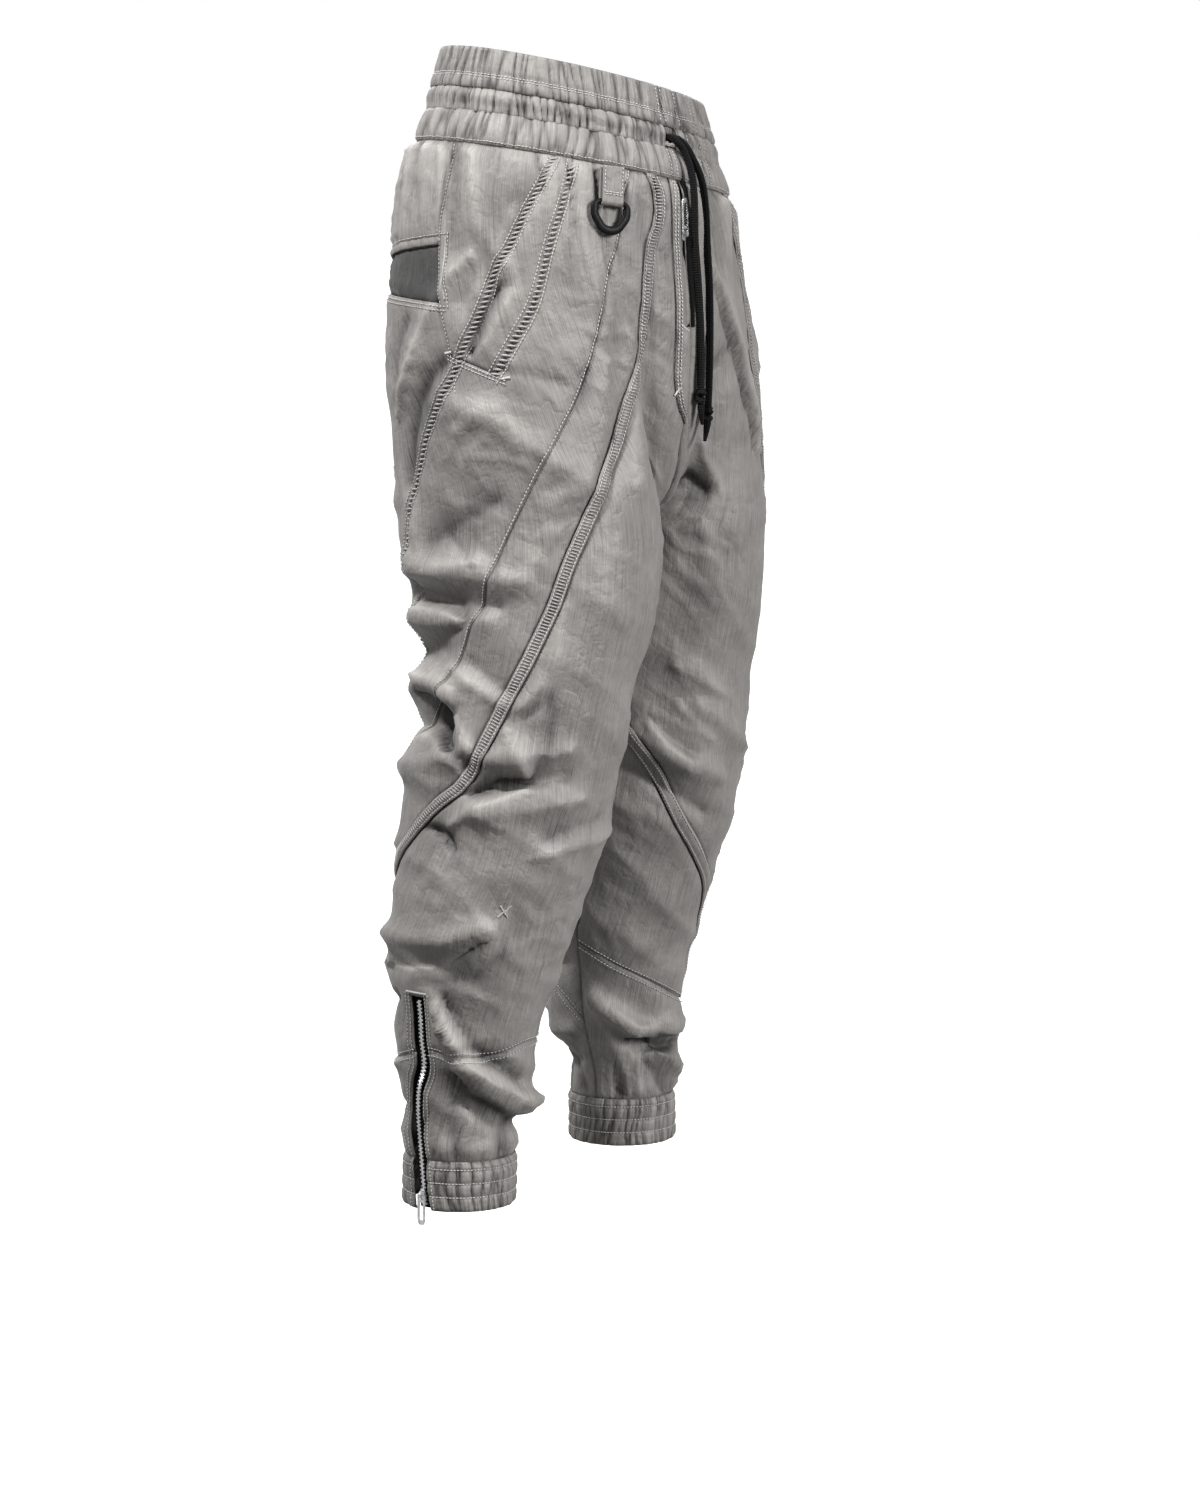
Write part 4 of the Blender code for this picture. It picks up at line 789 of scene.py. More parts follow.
# fine creases: side, height mm, width mm, steeper flank (-1 to 1), path of (u, v)
CREASES = (
    (RIGHT, 6, 8, 1, ((.66, -.507), (.557, -.508), (.532, -.517), (.515, -.538), (.492, -.560))),
    (RIGHT, -14, 10, 0, ((.625, -.519), (.590, -.521), (.570, -.530), (.550, -.545), (.530, -.556))),
    (RIGHT, 5, 9, 0, ((.64, -.558), (.555, -.553), (.510, -.570), (.480, -.590))),
    (RIGHT, -4, 7, 0, ((.525, -.556), (.492, -.566), (.478, -.590))),
    (RIGHT, 4, 9, 0, ((.54, -.492), (.487, -.507), (.447, -.520))),
    (RIGHT, -3, 7, 0, ((.51, -.484), (.473, -.499), (.44, -.508))),
    (RIGHT, -4, 8, 0, ((.685, -.432), (.583, -.434), (.530, -.438), (.515, -.452))),
    (RIGHT, 4, 9, -1, ((.63, -.449), (.56, -.446), (.522, -.452))),
    (RIGHT, -4, 8, 0, ((.665, -.485), (.573, -.473), (.520, -.457))),
    (RIGHT, 4, 10, 0, ((.66, -.415), (.56, -.412), (.495, -.402))),
    (RIGHT, -4, 12, 0, ((.56, -.388), (.512, -.370), (.463, -.351))),
    (RIGHT, -2, 5, 0, ((.53, -.382), (.512, -.397), (.500, -.408))),
    (RIGHT, 1.8, 5, 1, ((.427, -.409), (.413, -.392), (.388, -.375))),
    (RIGHT, 1.6, 4, 1, ((.400, -.355), (.378, -.347), (.350, -.345))),
    (RIGHT, -1.8, 4, 0, ((.395, -.368), (.370, -.362), (.348, -.364))),
    (RIGHT, -1.4, 4, 0, ((.405, -.342), (.378, -.334), (.350, -.324))),
    (RIGHT, 1.6, 4, 0, ((.420, -.384), (.405, -.375), (.398, -.370))),
    (RIGHT, 1.4, 7, 0, ((.247, -.317), (.260, -.335), (.263, -.349))),
    (RIGHT, 1.8, 7, 0, ((.092, -.305), (.070, -.324), (.055, -.335))),
    (RIGHT, 5, 6, 0, ((.445, -.165), (.485, -.179), (.522, -.198), (.547, -.217), (.573, -.239),
                      (.602, -.263), (.628, -.288))),
    (RIGHT, -7, 11, 0, ((.515, -.246), (.545, -.258), (.572, -.280), (.592, -.305), (.600, -.340))),
    (RIGHT, -3, 7, 0, ((.600, -.215), (.628, -.235), (.640, -.262))),
    (RIGHT, 2.5, 4, 0, ((.600, -.335), (.585, -.365), (.588, -.395))),
    (RIGHT, -6, 4, 0, ((.388, -.184), (.417, -.199), (.443, -.218), (.466, -.238))),
    (RIGHT, 3.5, 5, 0, ((.372, -.192), (.408, -.213), (.440, -.233))),
    (RIGHT, -2.6, 5, 0, ((.325, -.281), (.301, -.262), (.282, -.247))),
    (RIGHT, 2.6, 8, 0, ((.505, -.297), (.460, -.283), (.425, -.291), (.418, -.318))),
    (RIGHT, -1.6, 5, 0, ((.250, -.150), (.262, -.170), (.270, -.186))),
    (RIGHT, 3, 6, 1, ((.625, -.334), (.603, -.365), (.598, -.387))),
    (RIGHT, 1.4, 6, 0, ((.532, -.283), (.480, -.282), (.440, -.278))),
    (RIGHT, -2.4, 5, 0, ((.420, -.249), (.372, -.254), (.330, -.258))),
    (RIGHT, -1.6, 5, 1, ((.253, -.227), (.212, -.237), (.200, -.249))),
    (RIGHT, 1.6, 6, 0, ((.508, -.329), (.500, -.317), (.463, -.302))),
    (RIGHT, 4, 10, 0, ((.385, -.440), (.388, -.476), (.398, -.502), (.422, -.522))),
    (RIGHT, -1.5, 4, 0, ((.403, -.486), (.391, -.500))),
    (RIGHT, -4, 8, 0, ((.418, -.527), (.385, -.514), (.372, -.530), (.378, -.555), (.388, -.582))),
    (RIGHT, 4.5, 7, 0, ((.44, -.541), (.420, -.559), (.398, -.580))),
    (RIGHT, -10, 6, 0, ((.480, -.594), (.44, -.587), (.395, -.585))),
    (RIGHT, 5, 9, 0, ((.505, -.622), (.453, -.604), (.392, -.592))),
    (RIGHT, -9, 5, 0, ((.545, -.626), (.512, -.630), (.495, -.642))),
    (RIGHT, 3.5, 8, 1, ((.36, -.648), (.29, -.640), (.177, -.637))),
    (RIGHT, -3, 9, 0, ((.35, -.634), (.312, -.626), (.24, -.620))),
    (RIGHT, 3, 12, 0, ((.515, -.662), (.46, -.685), (.408, -.711))),
    (RIGHT, 2.6, 8, 0, ((.395, -.698), (.398, -.714), (.410, -.729), (.448, -.738), (.503, -.745),
                         (.552, -.749), (.670, -.749))),
    (RIGHT, -3.5, 9, 0, ((.383, -.734), (.415, -.750), (.482, -.759), (.525, -.759))),
    (RIGHT, 2.5, 10, 0, ((.535, -.753), (.497, -.767), (.478, -.782), (.462, -.796))),
    (RIGHT, 9, 9, 1, ((.470, -.790), (.453, -.804), (.425, -.826), (.357, -.846), (.263, -.864),
                      (.16, -.868))),
    (RIGHT, -7, 6, 0, ((.445, -.836), (.400, -.856), (.335, -.868), (.25, -.884), (.17, -.886))),
    (RIGHT, -7, 7, 0, ((.465, -.770), (.440, -.793), (.403, -.812), (.335, -.832), (.26, -.846))),
    (RIGHT, -2.5, 3.5, 0, ((.427, -.812), (.370, -.819), (.305, -.819))),
    (RIGHT, -2.5, 3.5, 0, ((.420, -.826), (.367, -.829), (.307, -.828))),
    (RIGHT, -3, 6, 0, ((.443, -.845), (.440, -.868), (.445, -.890))),
    (RIGHT, 3, 6, 0, ((.400, -.855), (.395, -.875), (.405, -.900))),
    (LEFT, 5, 6, -1, ((.062, -.150), (.082, -.166), (.112, -.190), (.162, -.218), (.204, -.248),
                      (.242, -.283), (.270, -.322))),
    (LEFT, -6, 3, 0, ((.070, -.166), (.099, -.192), (.151, -.221), (.193, -.251), (.231, -.286),
                      (.258, -.322))),
    (LEFT, -2.5, 5, 0, ((.108, -.244), (.113, -.228), (.148, -.221))),
    (LEFT, -8, 11, 0, ((.060, -.352), (.098, -.343), (.140, -.354))),
    (LEFT, 3, 5, 0, ((.103, -.306), (.120, -.324), (.157, -.346), (.175, -.364))),
    (LEFT, -1.0, 2.2, 0, ((.083, -.362), (.158, -.362), (.250, -.365))),
    (LEFT, -1.5, 4, 1, ((.120, -.386), (.145, -.395), (.168, -.405))),
    (LEFT, -1.5, 4, 1, ((.180, -.392), (.205, -.402), (.228, -.416))),
    (LEFT, 3.5, 8, 0, ((.120, -.507), (.152, -.518), (.203, -.535))),
    (LEFT, 3.0, 8, 0, ((.128, -.544), (.158, -.561), (.193, -.577))),
    (LEFT, 4.5, 6, 1, ((.083, -.559), (.113, -.578), (.152, -.595))),
    (LEFT, -3, 6, 0, ((.107, -.567), (.135, -.580), (.165, -.588))),
    (LEFT, 4, 6, 0, ((.007, -.808), (.077, -.830), (.135, -.850))),
    (LEFT, -11, 5, 0, ((.110, -.860), (.193, -.864), (.302, -.868))),
    (LEFT, 4, 6, 0, ((.14, -.846), (.21, -.848), (.30, -.852))),
    (LEFT, 3, 8, 0, ((.025, -.816), (.065, -.854), (.090, -.887))),
    (LEFT, -3, 4, 0, ((.160, -.880), (.203, -.897), (.230, -.909))),
    (0, 4, 9, 0, ((.80, -.21), (.88, -.29), (.96, -.345))),
    (0, -4, 9, 0, ((.74, -.23), (.82, -.31), (.93, -.37))),
    (0, 3, 7, 1, ((.70, -.33), (.80, -.38), (.90, -.41))),
    (0, -5, 8, 0, ((.72, -.47), (.82, -.462), (.93, -.47))),
    (0, 5, 8, -1, ((.74, -.51), (.84, -.512), (.95, -.50))),
    (0, -5, 8, 0, ((.70, -.555), (.80, -.562), (.92, -.555))),
    (0, 4, 8, 0, ((.72, -.62), (.82, -.64), (.95, -.63))),
    (0, -4, 8, 0, ((.68, -.66), (.80, -.675), (.93, -.67))),
    (0, 4, 9, .4, ((.62, -.742), (.74, -.762), (.90, -.755))),
    (0, -5, 7, 0, ((.60, -.775), (.72, -.79), (.88, -.775))),
    (0, 4, 6, 0, ((.60, -.83), (.70, -.842), (.84, -.835))),
    (0, -4, 6, 0, ((.62, -.872), (.72, -.868), (.86, -.872))))
# the hidden outer side of the left leg creases much as the right one does, not quite alike
OUTER_FROM, OUTER_SHARE, CREASE_TIP = .44, .85, .0011
CREASES += tuple((LEFT, high * OUTER_SHARE * (1 + .3 * math.sin(9 * k)), wide, lean,
                  tuple((a + .014 * math.sin(31 * b + k), b + .009 * math.sin(17 * a + 2 * k))
                        for a, b in path))
                 for k, (side, high, wide, lean, path) in enumerate(CREASES)
                 if side == RIGHT and min(a for a, _ in path) > OUTER_FROM)


def creases(side, u, v):
    """Height of the fine creases; one flank can be steep and the other long."""
    h = np.zeros(u.shape)
    scale = around(v)
    for which, high, wide, lean, path in CREASES:
        if which in (0, side):
            k, best, flank = near_path(path, wide * .0055, 1.1, u, v, scale)
            width = wide * .001 * (1 - .55 * lean * flank)
            off = np.sqrt(best ** 2 + CREASE_TIP ** 2) - CREASE_TIP
            h[k] += high * .00115 * np.exp(-off / width)
    return h * ease(np.minimum(u, 1 - u) / .03)


FALL, DRAG, NICK = .0034, .0027, .0016   # heights of the falls, drags and nicks


def crumple(spot):
    """Small irregular creasing of the cloth at each point, in metres: soft falls that run down,
    drags that slant across and, in patches, sharp nicks; down the leg the falls fade."""
    h = np.empty(len(spot))
    for i, (x, y, z) in enumerate(spot):
        low = min(max((-.40 - z) / .2, 0), 1)
        bend = noise.noise((x * 5, y * 5, z * 5 + 1)) * .05
        fall = 1 - 2 * abs(noise.noise(((x + bend) * 17, (y + bend) * 17, z * 3.2 + 3.1)))
        slant = (z + .5 * (x - y)) * 20
        drag = 1 - 2.6 * abs(noise.noise((x * 6 + 3, y * 6, slant)))
        nick = 1 - 3.4 * abs(noise.noise((x * 34 + 7, y * 34, slant * 2.1)))
        where = max(noise.noise((x * 11 + 2, y * 11, z * 9 + 5)) * 1.5 + .35, 0)
        h[i] = (FALL * fall * (1 - .7 * low) + DRAG * max(drag, -.3) * (.55 + .45 * low)
                + NICK * max(nick, 0) ** 1.5 * where)
    return h


def puff(place, sharp):
    """From 0 in sharp valleys to nearly 1 on rounded tops."""
    return 1 - math.exp(-sharp * abs(noise.noise(place)))


WAIST_PLEATS, CUFF_PLEATS = (.0095, .055), (.0115, .024)     # height and reach of the pleats


def gathers(side, u, v):
    """Soft pleats that run down from the waist seam and up from the cuff."""
    x = u * around(v)
    seed = 11.3 if side == LEFT else 2.7
    wave = np.empty(len(x))
    for i, (a, b) in enumerate(zip(x, v)):
        drift = .004 * noise.noise((a * 20, b * 14, seed))
        wave[i] = (puff(((a + drift) * 40, b * 3, seed), 4)
                   + .55 * puff(((a + drift) * 92, b * 5, seed + 4), 4) - .8)
    top = np.exp((v - WAIST_SEAM) / WAIST_PLEATS[1]) * WAIST_PLEATS[0]
    low = np.exp((CUFF_TOP - v) / CUFF_PLEATS[1]) * CUFF_PLEATS[0]
    return wave * (top + low) * ease(np.minimum(u, 1 - u) / .03)


def painted_ankle_shade(v):
    """Painted shade: the cloth is painted a little darker towards the ankles, as the light falls off down
    the legs.
    """
    return .16 * ease((-.70 - v) / .2)


def lie(side, u, v, seam_tree):
    """Height of the cloth over the main folds, distance to a seam, and tone: painted shade and highlights
    on its creases and pleats, painted shade towards the ankles.
    """
    spot = form(side, u, v)
    seam = np.array([seam_tree.find(p)[2] for p in spot])
    calm = ease(seam / .010) * .6 + .4       # flatter beside a seam
    edge = ease((WAIST_SEAM - v) / .01) * ease((v - CUFF_TOP) / .01)
    sharp, pleats = creases(side, u, v), gathers(side, u, v)
    high = (crumple(spot) * calm + sharp * (calm + 1) / 2 + pleats) * edge
    # painted shade in the valleys of creases and pleats, painted highlights on their tops
    tone = np.clip(sharp / .005, -1.7, .8) * .5 + np.clip(pleats / .004, -1.1, .7) * .46
    return high, seam, tone - painted_ankle_shade(v)


def ditch(seam, raised):
    """Depth of the small ditch along a seam, shallower and narrower on a raised band."""
    deep, wide = (.0006, .0009) if raised else (.0011, .0014)
    return -deep * np.exp(-(seam / wide) ** 2)


# how far each kind of piece stands out from the panels, or lies behind them
OUT = {"lapped_band": .0014, "shin_band": .0014, "fly_facing": .0010, "welt_piping": .0014,
       "welt_patch": -.0010, "pocket_strip": .0005, "fly_zip": -.0008}
# raised pieces are thicker below, so that they reach the cloth they are sewn to
RAISED = {"lapped_band": .0023, "shin_band": .0023, "fly_facing": .0023, "welt_piping": .0034}


def sateen(name, dark, light, rough):
    """Woven cotton: long slubs along the grain, cloudy wear, fine creasing in the relief."""
    mat, tree, shader = finish(name, light, rough, sheen=.12)
    shader.inputs["Sheen Roughness"].default_value = .35
    coord = add(tree, "UVMap", uv_map="grain").outputs[0]
    place = add(tree, "NewGeometry").outputs["Position"]
    # stretched by the number of spots a metre, across and along the threads
    slub = noise_of(tree, coord, 1, 3, (1300, 30, 1), .65)
    streak = noise_of(tree, coord, 1, 4, (420, 9, 1), .6)
    cloud = noise_of(tree, place, 30, 6, rough=.65)
    dark_yarn = noise_of(tree, coord, 1, 2, (900, 12, 1), .5)
    # each vertex's tone is painted shade and highlights: darker in crease valleys, seam ditches, under the
    # ladders and towards the ankles, paler on fold tops
    wear_and_painted_shade = add(tree, "SeparateXYZ")
    tree.links.new(add(tree, "UVMap", uv_map="tone").outputs[0], wear_and_painted_shade.inputs[0])
    tone = spread(tree, slub, .3, .7, -.30, .30)
    for more in (spread(tree, streak, .3, .7, -.12, .12), spread(tree, cloud, .35, .65, .36, .64),
                 spread(tree, dark_yarn, .62, .72, 0, -.40), wear_and_painted_shade.outputs[0]):
        tone = maths(tree, "ADD", tone, more)
    shade(tree, shader, maths(tree, "MINIMUM", maths(tree, "MAXIMUM", tone, -.5), 1.3), dark, light)
    tree.links.new(spread(tree, cloud, .3, .7, rough - .05, rough + .07), shader.inputs["Roughness"])
    shader.inputs["Specular IOR Level"].default_value = .4
    crease = noise_of(tree, place, 80, 5, rough=.6)
    fold = maths(tree, "SUBTRACT", noise_of(tree, place, 42, 3, rough=.55), .5)
    line_of = maths(tree, "ABSOLUTE", fold)
    relief(tree, shader, spread(tree, line_of, 0, .10, 0, 1), .0007, .45)
    relief(tree, shader, crease, .0010, .35)
    relief(tree, shader, slub, .00025, .9)
    return mat


cotton = sateen("grey cotton", (.110, .104, .099), (.290, .276, .262), .53)
pocketing = sateen("dark pocket cloth", (.028, .027, .027), (.066, .065, .064), .85)

curves = {side: seam_curves(side) for side in (RIGHT, LEFT)}
rows = edge_rows(curves)
seam_trees, legs, rims = {}, {}, {}
POCKETED = ("pocket_strip", "spiral_panel", "side_front_panel", "back_panel", "side_back_panel")


def thicken(ob, thickness, offset=-1):
    """Gives a single layer of cloth or tape its thickness."""
    layer = ob.modifiers.new("thickness", "SOLIDIFY")
    layer.thickness, layer.offset = thickness, offset


for side in (RIGHT, LEFT):
    uv, tri, names, seam_trees[side] = leg_net(side, curves, rows)
    if side == RIGHT:    # the facing's fold laps over most of the zip
        lap = (uv[:, 0] > FLY[0] * .98) & (uv[:, 0] < LAPS_FROM)
        share = ease((-.137 - uv[:, 1]) / .02) * ease((uv[:, 1] - FLY[1]) / .005) * lap
        uv[:, 0] -= share * (LAPS_FROM - uv[:, 0]) / (LAPS_FROM - FLY[0]) * FLY_LAP
    base, n = cloth(side, uv[:, 0], uv[:, 1])
    legs[side] = uv, tri, names, base, n, *lie(side, uv[:, 0], uv[:, 1], seam_trees[side])
    rims[side] = {(round(u), round(v, 6)): i for i, (u, v) in enumerate(uv)
                  if min(u, 1 - u) < 1e-6 and v > CROTCH - 1e-6}
for spot, i in rims[RIGHT].items():    # the legs meet along the rise, front and back
    j = rims[LEFT].get(spot)
    if j is not None:
        for k in (3, 4, 5):
            mean = (legs[RIGHT][k][i] + legs[LEFT][k][j]) / 2
            legs[RIGHT][k][i] = legs[LEFT][k][j] = mean / (np.linalg.norm(mean) if k == 4 else 1)

for side, word in LEGS:
    uv, tri, names, base, n, high, seam, wear_and_painted_shade = legs[side]
    edges = np.vstack([dense(curves[side][k], .0015) for k in ("pf", "pr")])
    pocket_tree = tree_of(form(side, edges[:, 0], edges[:, 1]))
    for kind in sorted(set(names)):
        if kind == "fly_zip":
            continue
        used, inv = np.unique(tri[names == kind], return_inverse=True)
        t = inv.reshape(-1, 3)
        up = high[used] + ditch(seam[used], kind in RAISED) + OUT.get(kind, 0.0)
        verts = base[used] + n[used] * up[:, None]
        facing = np.cross(verts[t[:, 1]] - verts[t[:, 0]], verts[t[:, 2]] - verts[t[:, 0]])
        if (facing * n[used][t[:, 0]]).sum() < 0:
            t = t[:, ::-1]
        grain = np.c_[(uv[used, 0] - .3) * around(uv[used, 1]), uv[used, 1]]
        node = kind if kind == "fly_facing" else f"{word}_{kind}"
        near = seam[used]
        # painted highlight on high cloth, painted shade in the ditch of a seam
        tone = wear_and_painted_shade[used] + np.clip(high[used] / .005, -1, .8) * .12 - .34 * np.exp(-(near / .0014) ** 2)
        if kind in ("lapped_band", "shin_band"):     # pale folded edge, darker middle
            tone += .55 * np.exp(-((near - .0014) / .0012) ** 2) - .28 * ease((near - .0022) / .0015)
        # painted shade under and between the bars of the pocket ladders
        if kind in POCKETED:                         # darker under the ladder of stitches
            spots = form(side, uv[used, 0], uv[used, 1])
            off = np.array([pocket_tree.find(q)[2] for q in spots])
            tone -= .20 * np.exp(-(off / .0033) ** 4)
        panel = piece(node + "_cloth", verts, t, pocketing if kind == "welt_patch" else cotton, grain,
                      tone=tone)
        thicken(panel, RAISED.get(kind, CLOTH_THICK))
        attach(panel, "trousers")
        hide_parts(node)

# ---- Waistband --------------------------------------------------------------------------
# One wide elasticated band stitched in three tiers: the tall top, the tunnel that holds the
# drawcord, and a low tier over the waist seam. The elastic draws the cloth into fine shirring.
SLIT = .0092             # half the drawcord's slit, as a share of the waist
WAIST, WAIST_COLUMNS = .86, 720          # metres round the band, and columns of its mesh
TOP_SHADE, TOP_TIER_END = .16, -.034     # the top tier is a little darker than the others


def shirring(x, v, fine, seed):
    """Rounded ruffles with sharp valleys that wander and meet, from 0 to about 1."""
    h = np.empty(len(x))
    for i, (a, b) in enumerate(zip(x, v)):
        drift = .006 * noise.noise((a * 22, b * 30, seed))
        h[i] = (puff(((a + drift) * 118 * fine, b * 16, seed), 5.5)
                + .35 * puff(((a + drift) * 240 * fine, b * 26, seed + 9), 6))
    return h - .75


def band(node, columns, profile, deep, fine, seed, drift=None):
    """Shirred band; profile rows are (height, out, share of the shirring's depth), deep is that
    depth, fine how close the ruffles lie, drift how the columns shift with height."""
    v, out, share = (np.array(c) for c in zip(*profile))
    n, r = len(columns), len(v)
    side = np.array([c[0] for c in columns])
    u = np.array([c[1] for c in columns])
    x = np.array([c[2] for c in columns])
    grid, tone = np.empty((r, n, 3)), np.empty((r, n))
    for j in range(r):
        ruffle = shirring(x, np.full(n, v[j]), fine, seed)
        high = ruffle * deep * share[j] + out[j]
        # painted shade in the valleys of the shirring and painted highlights on its tops, the top tier a
        # little darker, painted shade towards the ankles
        tone[j] = (np.clip(ruffle, -.8, .3) - .12 - TOP_SHADE * ease((v[j] - TOP_TIER_END) / .004)
                   - painted_ankle_shade(v[j]))
        for q in (RIGHT, LEFT):
            k = side == q
            if k.any():
                at = (u[k] + drift(v[j])) % 1 if drift else u[k]
                grid[j, k] = cloth(q, at, np.full(k.sum(), v[j]), high[k])[0]
    faces = rungs_of(r, n, closed=columns[0][3])
    grain = np.c_[np.tile(x, r), np.repeat(v, n)]
    ob = piece(node + "_cloth", grid.reshape(-1, 3), faces, cotton, grain, tone=tone.ravel())
    corners = grid.reshape(-1, 3)[np.array(faces)]
    facing = np.cross(corners[:, 1] - corners[:, 0], corners[:, 2] - corners[:, 0])
    if (facing * (corners[:, 0] - grid.mean(axis=(0, 1))) * (1, 1, 0)).sum() < 0:
        ob.data.flip_normals()
    thicken(ob, CLOTH_THICK)
    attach(ob, "trousers")
    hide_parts(node)
    return grid


def waist_round(slit):
    """Columns (side, u, length round, closed) from the centre front by the right side."""
    w = (np.linspace(slit, 1 - slit, WAIST_COLUMNS) if slit
         else np.linspace(0, 1, WAIST_COLUMNS, endpoint=False))
    return [(RIGHT, 2 * a, a * WAIST, not slit) if a < .5 else (LEFT, 2 - 2 * a, a * WAIST, not slit)
            for a in w]


# rows of each tier: height, out, share of the shirring
TOP_ROWS = ((-.0016, -.0016, .1), (-.0004, -.0012, .3), (.0004, -.0003, .5), (.0002, .0004, .7),
            (-.0025, .0010, .9), (-.006, .0014, 1), (-.011, .0018, 1), (-.016, .0022, 1),
            (-.0195, .0022, .8), (-.0215, .0017, .5), (-.0235, .0021, .7), (-.026, .0029, .8),
            (-.029, .0031, .8), (-.0315, .0027, .9), (-.0330, .0018, 1), (-.0338, .0004, 1))
CORD_ROWS = ((-.0330, .0002, .9), (-.0342, .0018, .8), (-.0365, .0031, .6), (-.0390, .0037, .5),
             (-.0415, .0034, .8), (-.0438, .0026, 1.0), (-.0460, .0018, 1.1), (-.0485, .0013, 1.1),
             (-.0508, .0012, 1.1), (-.0524, .0006, 1.0), (-.0532, -.0004, 1))
LOW_ROWS = ((-.0516, -.0004, 1), (-.0524, .0010, 1), (-.0545, .0023, .9), (-.0580, .0029, .8),
            (-.0625, .0031, .9), (-.0670, .0030, 1), (-.0710, .0026, 1), (-.0740, .0020, .9),
            (-.0760, .0012, .7), (-.0775, .0004, .5), (-.0785, -.0010, .4))
top_band = band("waist_top_tier", waist_round(0), TOP_ROWS, .0030, 1.05, 3.3)
cord_band = band("waist_cord_tier", waist_round(SLIT), CORD_ROWS, .0038, 1.0, 8.1)
low_band = band("waist_low_tier", waist_round(0), LOW_ROWS, .0034, .75, 5.2)

# ---- Ankle cuffs ------------------------------------------------------------------------
# Elasticated cuffs of the same cotton, open at the ankle zip, stitched round in three rows
# that pinch the shirring.
CUFF_STITCHES = (-.9215, -.9330, -.9445)
CUFF_GAP, CUFF_MIDDLE = .0006, .535      # beside the zip, and the zip's mean place in u
CUFF_ROUND, CUFF_COLUMNS = .29, 300      # metres round, and columns of its mesh
CUFF_LINES, CUFF_BULGE, PINCH = np.linspace(-.9140, -.9568, 26), .0024, .0009


def zip_run(v):
    """Where the ankle zip runs, as a share of the way round the leg."""
    z = line(ZIP_LINE, .004)
    return np.interp(-v, -z[:, 1], z[:, 0])


cuff_rows = []
for v in CUFF_LINES:
    pinch = max(math.exp(-((v - s) / .0016) ** 2) for s in CUFF_STITCHES)
    swell = ease((CUFF_LINES[0] - v) / .006) * ease((v + .9590) / .005)
    cuff_rows.append((v, CUFF_BULGE * float(swell) - PINCH * pinch, 1 - .55 * pinch))
cuff_rows += [(-.9575, -.0004, .5), (-.9570, -.0018, .2)]
half = (TAPE / 2 + CUFF_GAP) / float(around(-.93))
cuffs = {}
for side, word in LEGS:
    columns = [(side, a % 1.0, a * CUFF_ROUND, False)
               for a in np.linspace(CUFF_MIDDLE + half, CUFF_MIDDLE + 1 - half, CUFF_COLUMNS)]
    cuffs[side] = band(f"{word}_cuff", columns, cuff_rows, .0022, 1.1, 14.2 + side,
                       lambda v: float(zip_run(v)) - CUFF_MIDDLE)

# ---- Topstitching -----------------------------------------------------------------------
# Pale grey thread, a little proud of the cloth. Single and double rows follow the seams, and
# the pocket and spiral seams have a ladder of short bars between their rows.
STITCH, STITCH_STEP, THREAD = .0025, .0033, .00046       # length, step and radius


def mottled(name, colour, rough, scale, detail, dark, light, **kind):
    """Finish with a fine uneven tone between two colours."""
    mat, tree, shader = finish(name, colour, rough, **kind)
    spots = noise_of(tree, add(tree, "NewGeometry").outputs["Position"], scale, detail)
    shade(tree, shader, spots, dark, light)
    return mat, tree, shader, spots


thread = mottled("pale grey thread", (.56, .55, .54), .6, 900, 2, (.34, .33, .32),
                 (.64, .63, .61), sheen=.1)[0]
ribs = mottled("pressed ladder cloth", (.28, .27, .26), .6, 420, 3, (.21, .20, .195),
               (.42, .40, .385), sheen=.2)[0]


def on_cloth(side, u, v, out):
    """Points on the finished surface of the panels, moved out, and the normals."""
    base, n = cloth(side, u, v)
    high, _, _ = lie(side, u, v, seam_trees[side])
    return base + n * (high + out)[:, None], n


def traced(side, uv, out, step=.0012):
    """A curve of (u, v) laid on the cloth: its points, normals and length along it."""
    uv = uv[(uv[:, 0] > -.004) & (uv[:, 0] < 1.004) & (uv[:, 1] < WAIST_SEAM) & (uv[:, 1] > CUFF_TOP)]
    uv = dense(np.clip(uv, (0, -9), (1, 9)), step)
    p, n = on_cloth(side, uv[:, 0], uv[:, 1], np.full(len(uv), out))
    return p, n, along(p)


def threads(starts, ends, normals, radius, rise):
    """Thin rounded threads from each start to each end: points and faces."""
    mid = (starts + ends) / 2
    across = np.cross(normals, unit(ends - starts))
    rings = []
    for p, r, h in ((starts, .55, 0), (mid, 1, rise), (ends, .55, 0)):
        for a, b in ((1, 0), (0, 1), (-1, 0), (0, -.6)):
            rings.append(p + normals * h + (across * a + normals * b) * radius * r)
    verts = np.stack(rings, 1).reshape(-1, 3)
    one = rungs_of(3, 4, flip=True) + [(3, 2, 1, 0), (8, 9, 10, 11)]
    faces = (np.array(one)[None] + (np.arange(len(starts)) * 12)[:, None, None]).reshape(-1, 4)
    return verts, faces


opening = {}             # the middle of each ankle zip, where no seam is sewn
for side in (RIGHT, LEFT):
    middle = dense(np.array([q for q in line(ZIP_LINE, .001) if q[1] > CUFF_TOP]), .002)
    opening[side] = tree_of(on_cloth(side, middle[:, 0], middle[:, 1], np.zeros(len(middle)))[0])


